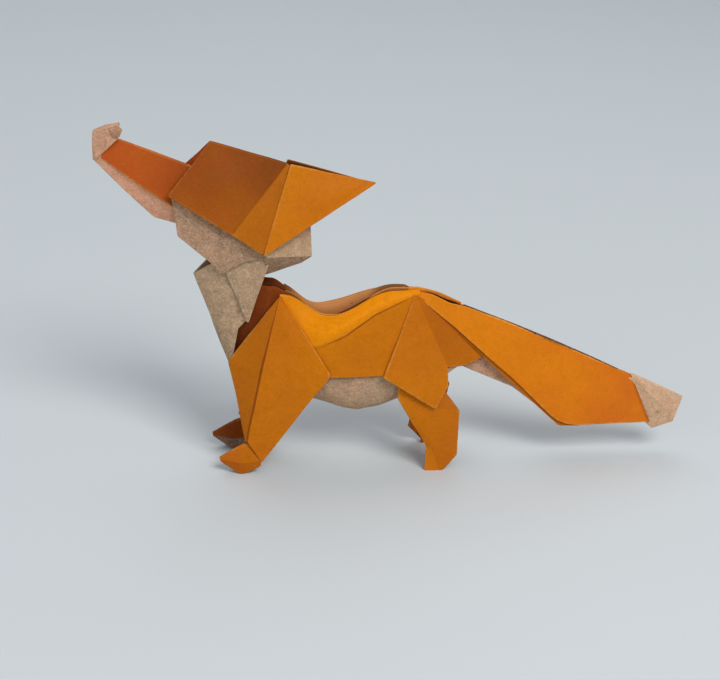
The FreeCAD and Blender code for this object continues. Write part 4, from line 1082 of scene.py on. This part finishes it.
@dataclass
class HindQuarter(Limb):
    """Haunch and hind leg of one side."""

    top: float = 16.3
    out: float = 8.4

    def haunch(self) -> Sheet:
        """Fan of panels from the apex: outer haunch, then the facet that runs under the tail."""
        apex = (3.8, 2.1, 44.8)
        rim = line((-3.0, 9.0, 26.0), (-3.9, 9.25, 26.25), (-4.1, 9.9, 26.3), (9.0, 9.7, 17.7),
                   (12.1, 7.4, 22.6), (11.9, 5.9, 27.2), (16.8, 2.9, 26.3), (21.2, 1.9, 28.0),
                   (22.0, 0.7, 31.0))
        fan = line(*[apex] * 6, (5.2, 1.9, 44.0), (7.0, 1.6, 43.0), (9.5, 1.2, 41.4))
        fan[:2] += [(0.2, 0.9, -0.4), (0.1, 0.5, -0.1)]
        turned = rim + ([(0.0, 0.65, 0.12)] * 5 + [(-0.1, 0.45, 0.2)] * 4)
        hem = turned + ([(1.0, 0.7, 2.4)] * 3 + [(-1.2, 0.4, 3.0), (-1.8, 0.5, 0.9), (-0.6, 0.5, 1.4)]
                        + [(-0.6, 0.4, 1.6)] * 3)
        crown = np.outer([1, 0, 0], [0, 0, 0.2, 0, 0, 0, 0, 0])
        # Painted shade, deeper and with a deeper tint on the rear facet that runs under the tail.
        tint, painted_shade = [0.36] * 5 + [0.43] * 3, [0.24] * 5 + [0.3] * 3
        folds = 0.3, [0.3, 0.3, 0.3, 0.3, 0.2, 1.2, 0.5]
        sheet = Sheet(np.array([fan, rim, turned, hem]), *folds, crown, tint, painted_shade, uneven=0.2, flip=True)
        return sheet.on_side(self.far)

    def flap(self) -> Sheet:
        """Pale corner that shows under the rear facet."""
        corners = line((11.9, 5.2, 26.6), (12.1, 5.2, 25.3), (15.6, 3.0, 26.5), (12.4, 5.0, 25.2))
        corners = corners.reshape(2, 2, 3)
        # Painted shade on the corner.
        return Sheet(corners, 0.3, 0.3, 0.0, 0.7, 0.25, thickness=0.28, pitch=0.6).on_side(self.far)

    def leg(self) -> Sheet:
        """Shin and foot, with the step of the hock and the rear edge turned in."""
        out = self.out
        feet = (7.3, out, 0.0), (11.0, out + 0.1, 0.0), (11.9, out, 0.0)
        if self.far:
            feet = (7.6, out, 4.2), (12.3, out + 0.1, 0.0), (15.0, out, 0.0)
        front = self.lean((-0.2, out - 1.4, 27.2), (-0.2, out - 0.2, 19.8), (7.5, out, 7.0), feet[0])
        fold = self.lean((5.6, out - 1.8, 24.2), (8.8, out + 0.1, 17.4), (8.3, out + 0.35, 6.7), feet[1])
        rear = self.lean((11.5, out - 2.2, 20.6), (15.2, out, 16.3), (15.25, out, 4.2), feet[2])
        front_in, front_deep = front + (0.2, 0.6, 0.0), front + (1.8, 1.0, 0.0)
        rear_in, rear_deep = rear + (-0.2, 0.65, 0.0), rear + (-4.5, 1.5, 0.0)
        rear_deep[3] = rear[3] + (-3.2, 1.5, 0.0)
        corners = np.array([front_deep, front_in, front, fold, rear, rear_in, rear_deep]).transpose(1, 0, 2)
        crown = np.outer([0, 1, 0], [0, 0, 0.15, 0.15, 0, 0])
        # Painted shade: deeper, with deeper tint, on the facet under the haunch, and less on the foot's front
        # facet.
        tint, painted_shade = np.full((3, 6), 0.36), np.full((3, 6), 0.235)
        tint[0, 3:], painted_shade[0, 3:] = 0.45, 0.3
        tint[2, 2], painted_shade[2, 2] = 0.28, 0.15
        # The far leg takes deeper tint and painted shade: it stands in shadow.
        if self.far:
            tint, painted_shade = tint + 0.3, painted_shade + 0.16
        folds = 0.4, [0.3, 0.3, 0.35, 0.3, 0.3]
        return Sheet(corners, *folds, crown, tint, painted_shade, uneven=0.15, flip=True).on_side(self.far)

    def pieces(self) -> list[PieceRow]:
        """Name, runs, paper and seed of each piece."""
        seed = 81 if self.far else 71
        return [
            (self.named("haunch"), [self.haunch()], self.paper.lined(), seed),
            (self.named("haunch_corner"), [self.flap()], self.pale, seed + 2),
            (self.named("hind_leg"), [self.leg()], self.paper.lined(), seed + 1),
        ]


@dataclass
class Tail(Part):
    """Tail in two coloured layers over a pale one, with a pale tip."""

    arch: float = 0.9
    length: float = 58.6
    ridge_half: float = 0.45

    def ridge(self, places: list[float], out: list[float] | float, drop: np.ndarray | float) -> np.ndarray:
        """Line along the ridge, which arches over its straight line by a parabola."""
        along = np.array(places, dtype=float)
        share = along / self.length
        down = drop - 4.0 * self.arch * share * (1.0 - share)
        return TAIL.line(*np.stack([along, np.broadcast_to(out, along.shape), down], axis=1))

    def side(self, far: bool) -> Sheet:
        """One hanging side, its lower edge turned in."""
        lift = -0.12 if far else 0.0
        places = [-1.2, 2.6, 7.2, 12.0, 20.0, 36.0, 48.2, 58.1, 59.0]
        drops = np.array(([0.2, 0.0, 0.2] if far else [0.3, 0.2, 0.72]) + [0.3] * 4 + [-0.15, -0.2])
        top = self.ridge(places, [0.8, 0.95, 0.95] + [self.ridge_half] * 6, drops - lift)
        inner = self.ridge(places, 0.12, drops + 0.45 - lift)
        low = TAIL.line((-1.6, 1.7, 1.3), (2.2, 2.0, 2.3), (6.6, 2.3, 3.6), (11.2, 2.6, 5.0),
                        (20.0, 3.1, 8.0), (34.0, 3.1, 13.1), (48.2, 3.05, 18.5), (68.2, 1.8, 9.7),
                        (69.3, 1.75, 9.3))
        turned = low + (0.0, 0.6, 0.1)
        depth = np.array([0.3, 0.6, 0.9, 1.3, 2.6, 3.0, 3.0, 2.6])
        hem = turned + (-0.5, 0.3, 2.4)
        hem[:-1] = turned[:-1] + np.stack([0.15 * depth, np.full(8, 0.5), depth], axis=1)
        crown = np.outer([0, 1, 0, 0], [0, 0, 0, 0.2, 0.35, 0.3, 0.3, 0])
        tint = [0.2, 0.2, 0.21, 0.23, 0.32, 0.42, 0.48, 0.58, 0.7]
        # Painted shade: dark on the inner row, slight along the side and deeper by the tip's edge; near the
        # tip it is painted a little lighter.
        painted_shade = np.tile([0.08, 0.08, 0.07, 0.06, 0.03, 0.0, -0.04, -0.04, 0.3], (5, 1))
        painted_shade[0] = 0.9
        folds = [0.25, 0.3, 0.3], [0.8, 0.8, 0.8, 0.8, 5.0, 4.0, 0.4]
        corners = np.array([inner, top, low, turned, hem])
        return Sheet(corners, *folds, crown, tint, painted_shade, uneven=0.18, flip=True).on_side(far)

    def lining(self, far: bool) -> Sheet:
        """Second layer, a step below the lower edge of the side."""
        low = TAIL.line((8.0, 1.7, 4.7), (20.0, 2.4, 9.1), (34.0, 2.4, 14.2), (47.6, 2.3, 19.1),
                        (52.5, 1.9, 17.2))
        top = TAIL.line((9.5, 1.2, 1.6), (21.5, 1.6, 4.6), (36.0, 1.6, 9.0), (49.0, 1.5, 14.0),
                        (55.0, 1.4, 13.4))
        folds, finish = [5.0, 4.0, 0.8], {"thickness": 0.3, "flip": True}
        # Painted shade, deepest along its top, under the side.
        return Sheet(np.array([top, low]), 0.3, folds, 0.0, 0.4, column(0.85, 0.3), **finish).on_side(far)

    def spine(self) -> Sheet:
        """The layers between the two sides, with painted shade, so that they show as a thin dark line along
        the ridge.
        """
        places = [11.0, 24.0, 36.0, 48.0, 57.6]
        corners = np.array([self.ridge(places, 0.0, 0.02), self.ridge(places, 0.0, 1.2)])
        return Sheet(corners, 0.3, 3.0, 0.0, 0.7, 0.72, thickness=0.26, pitch=0.8)

    def slot_floor(self) -> Sheet:
        """The layer under the tongue of the back, with painted shade, so that it is seen dark through the
        slot beside it.
        """
        edge = self.ridge([-2.2, 3.0, 7.0, 10.4], [1.0, 1.0, 1.0, 0.4], np.array([0.75, 0.65, 1.1, 1.2]))
        return Sheet(both_sides(edge), 0.3, 1.5, 0.0, 1.0, 0.55, thickness=0.26)

    def core(self) -> Sheet:
        """Pale layer in the middle, showing under the root of the tail."""
        top = TAIL.line((12.0, 0.2, 2.0), (32.3, 0.2, 3.0), (49.0, 0.2, 4.0))
        low = TAIL.line((14.6, 0.35, 14.2), (32.3, 0.35, 14.4), (48.8, 0.35, 19.2))
        # Slight painted shade on the core.
        return Sheet(both_sides(top, low), 0.25, 0.6, column(0.15, 0, 0.15), 0.8, 0.14, flip=True)

    def tip(self) -> Sheet:
        """Pale blunt tip, open along its lower edge."""
        top = TAIL.line((56.0, 0.25, 0.5), (59.8, 0.3, 0.0), (66.5, 0.3, -0.15), (74.5, 0.3, 0.2))
        top[1] = self.ridge([59.8], 0.3, -0.35)[0]
        corners = both_sides(
            TAIL.line((64.0, 0.6, 8.0), (69.8, 0.7, 9.8), (72.4, 0.5, 8.2), (74.7, 0.15, 6.5)),
            TAIL.line((64.4, 0.95, 8.4), (70.95, 1.3, 10.8), (73.2, 1.2, 9.0), (75.4, 0.4, 7.2)),
            TAIL.line((58.5, 0.5, 2.4), (61.4, 0.75, 1.1), (67.2, 1.3, 3.0), (75.2, 0.55, 6.1)),
            top,
        )
        folds = [0.3, 0.35, 0.28, 0.28, 0.35, 0.3], [0.25, 0.3]
        crown = column(0, 0.12, 0.12, 0, 0.12, 0.12, 0)
        # The tip is painted a little lighter.
        painted_shade = column(-0.1, -0.04, -0.1, -0.1, -0.1, -0.04, -0.1)
        return Sheet(corners, *folds, crown, 0.36, painted_shade, pitch=0.7, uneven=0.18)

    def pieces(self) -> list[PieceRow]:
        """Name, runs, paper and seed of each piece."""
        # Their cut edges take the outer paper rather than the lighter edge paper, so these painted-shade
        # layers show no light rim.
        dark = replace(self.paper, edge=self.paper.outer)
        return [
            ("tail_sides", [self.side(False), self.side(True)], self.paper.lined(), 91),
            ("tail_lining", [self.lining(False), self.lining(True)], self.paper, 92),
            ("tail_spine", [self.spine(), self.slot_floor()], dark, 93),
            ("tail_core", [self.core()], self.pale, 94),
            ("tail_tip", [self.tip()], self.pale, 95),
        ]


# ---------------------------------------------------------------------------
# Studio
# ---------------------------------------------------------------------------
def turned_about_z(degrees: float) -> np.ndarray:
    """Matrix that turns about Z."""
    c, s = math.cos(math.radians(degrees)), math.sin(math.radians(degrees))
    return np.array([[c, -s, 0.0], [s, c, 0.0], [0.0, 0.0, 1.0]])


def place_in_scene(name: str, data: bpy.types.ID, axes: np.ndarray, place: np.ndarray) -> bpy.types.Object:
    """Puts a lamp or the camera at a place, with the columns of axes as its own axes."""
    matrix = np.eye(4)
    matrix[:3, :3], matrix[:3, 3] = axes, place
    thing = bpy.data.objects.new(name, data)
    thing.matrix_world = Matrix(matrix.tolist())
    bpy.context.scene.collection.objects.link(thing)
    return thing


@dataclass
class Studio:
    """Pale floor and backdrop, soft lamps and the camera."""

    eye: tuple[float, float, float] = (-56.36, -395.2, 204.5)
    lens: float = 87.8
    yaw: float = 6.7
    pitch: float = 23.4
    roll: float = 1.95

    def camera(self) -> None:
        """Places the camera: its axes are the product of the roll, pitch and yaw turns."""
        c, s = math.cos(math.radians(self.pitch)), math.sin(math.radians(self.pitch))
        tilted = np.array([[1.0, 0.0, 0.0], [0.0, -s, -c], [0.0, c, -s]])
        axes = turned_about_z(self.roll) @ tilted @ turned_about_z(self.yaw)
        data = bpy.data.cameras.new("camera")
        data.lens = self.lens
        data.sensor_width = 36.0
        data.clip_start = 0.01
        axes = (axes * np.array([[1.0], [-1.0], [-1.0]])).T
        bpy.context.scene.camera = place_in_scene("camera", data, axes, np.array(self.eye) * MM)

    def floor(self) -> None:
        """A level floor that curves up into a backdrop: a flat run, a quarter circle, a wall."""
        turn = np.linspace(0.0, math.pi / 2, 24)
        radius, depth, wide, high = 0.5, 1.2, 4.0, 2.5
        y = np.concatenate([[-2.5], depth + radius * np.sin(turn), [depth + radius]])
        z = np.concatenate([[0.0], radius * (1.0 - np.cos(turn)), [high]])
        x = np.array([-wide, wide])
        points = np.stack([np.repeat(x, len(y)), np.tile(y, 2), np.tile(z, 2)], axis=1)
        low = np.arange(len(y) - 1)
        quads = np.stack([low, low + len(y), low + len(y) + 1, low + 1], axis=1)
        mesh = bpy.data.meshes.new("floor")
        mesh.from_pydata(points.tolist(), [], quads.tolist())
        mesh.polygons.foreach_set("use_smooth", np.ones(len(quads), dtype=bool))
        material = bpy.data.materials.new("pale_floor")
        material.use_nodes = True
        shader = material.node_tree.nodes["Principled BSDF"]
        shader.inputs["Base Color"].default_value = linear(206, 212, 214)
        shader.inputs["Roughness"].default_value = 0.7
        shader.inputs["Specular IOR Level"].default_value = 0.2
        mesh.materials.append(material)
        floor = bpy.data.objects.new("floor", mesh)
        bpy.context.scene.collection.objects.link(floor)

    def lamp(self, name: str, place: tuple, size: float, power: float, tone: tuple) -> None:
        """Adds a soft square lamp that faces the fox."""
        data = bpy.data.lights.new(name, "AREA")
        data.size = size
        data.energy = power
        data.color = tone
        back = np.array(place) - np.array([0.0, 0.0, 0.04])
        back = back / np.linalg.norm(back)
        side = np.cross([0.0, 0.0, 1.0], back)
        side = side / np.linalg.norm(side)
        place_in_scene(name, data, np.stack([side, np.cross(back, side), back], axis=1), place)

    def build(self) -> None:
        """Sets up the camera, floor, lamps and an even sky."""
        self.camera()
        self.floor()
        self.lamp("key", (0.35, -0.75, 0.85), 0.5, 9.0, (1.0, 0.98, 0.95))
        self.lamp("fill", (-0.8, -0.8, 0.35), 0.9, 3.2, (0.95, 0.97, 1.0))
        self.lamp("top", (-0.05, 0.45, 0.8), 0.8, 2.6, (0.98, 0.99, 1.0))
        world = bpy.data.worlds.new("sky")
        world.use_nodes = True
        background = world.node_tree.nodes["Background"]
        background.inputs["Color"].default_value = (0.86, 0.9, 1.0, 1.0)
        background.inputs["Strength"].default_value = 0.32
        bpy.context.scene.world = world
        bpy.context.scene.view_settings.view_transform = "Standard"


def finishes() -> list[bpy.types.Material]:
    """Coloured paper, a browner copy of it that paints the shade of the groove, pale paper, then the cut
    edges of the coloured and the pale paper.
    """
    return [
        PaperFinish(
            "coloured_paper", linear(226, 136, 1), linear(180, 75, 31), linear(234, 168, 84),
            blotch=0.75, speckle=0.6, fibre=0.06, scuff_and_highlight=0.5, rough=0.5, relief=0.07,
        ).make(),
        # A duller, browner copy of the coloured paper: painted shade for the walls of the groove.
        PaperFinish(
            "groove_shade_paper", linear(206, 142, 84), linear(150, 80, 44), linear(226, 178, 116),
            blotch=0.5, speckle=0.6, fibre=0.12, scuff_and_highlight=0.5, rough=0.6, relief=0.07,
        ).make(),
        PaperFinish(
            "pale_paper", linear(180, 156, 124), linear(206, 150, 120), linear(218, 200, 172),
            blotch=0.9, speckle=3.0, fibre=0.6, scuff_and_highlight=0.4, rough=0.82, relief=0.1,
        ).make(),
        PaperFinish(
            "coloured_paper_edge", linear(214, 140, 50), linear(190, 100, 50), linear(226, 176, 112),
            blotch=0.3, speckle=0.4, fibre=0.2, scuff_and_highlight=0.4, rough=0.75, relief=0.04,
        ).make(),
        PaperFinish(
            "pale_paper_edge", linear(200, 182, 156), linear(202, 164, 142), linear(220, 206, 184),
            blotch=0.5, speckle=0.6, fibre=0.3, scuff_and_highlight=0.4, rough=0.85, relief=0.05,
        ).make(),
    ]


def main() -> None:
    """Builds the papers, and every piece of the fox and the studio."""
    logging.basicConfig(level=logging.INFO, format="%(message)s")
    coloured, groove_shade, pale, coloured_edge, pale_edge = finishes()
    papers = PaperSet(coloured, pale, coloured_edge), PaperSet(pale, coloured, pale_edge)
    parts = (
        Head(*papers),
        Snout(*papers),
        Neck(*papers),
        Torso(*papers, PaperSet(groove_shade, groove_shade, coloured_edge)),
        Foreleg(*papers),
        Foreleg(*papers, far=True, step=-1.6),
        HindQuarter(*papers),
        HindQuarter(*papers, far=True, step=-3.4),
        Tail(*papers),
    )
    LOG.info("%d pieces", sum(len(part.build()) for part in parts))
    Studio().build()


if __name__ == "__main__":
    main()
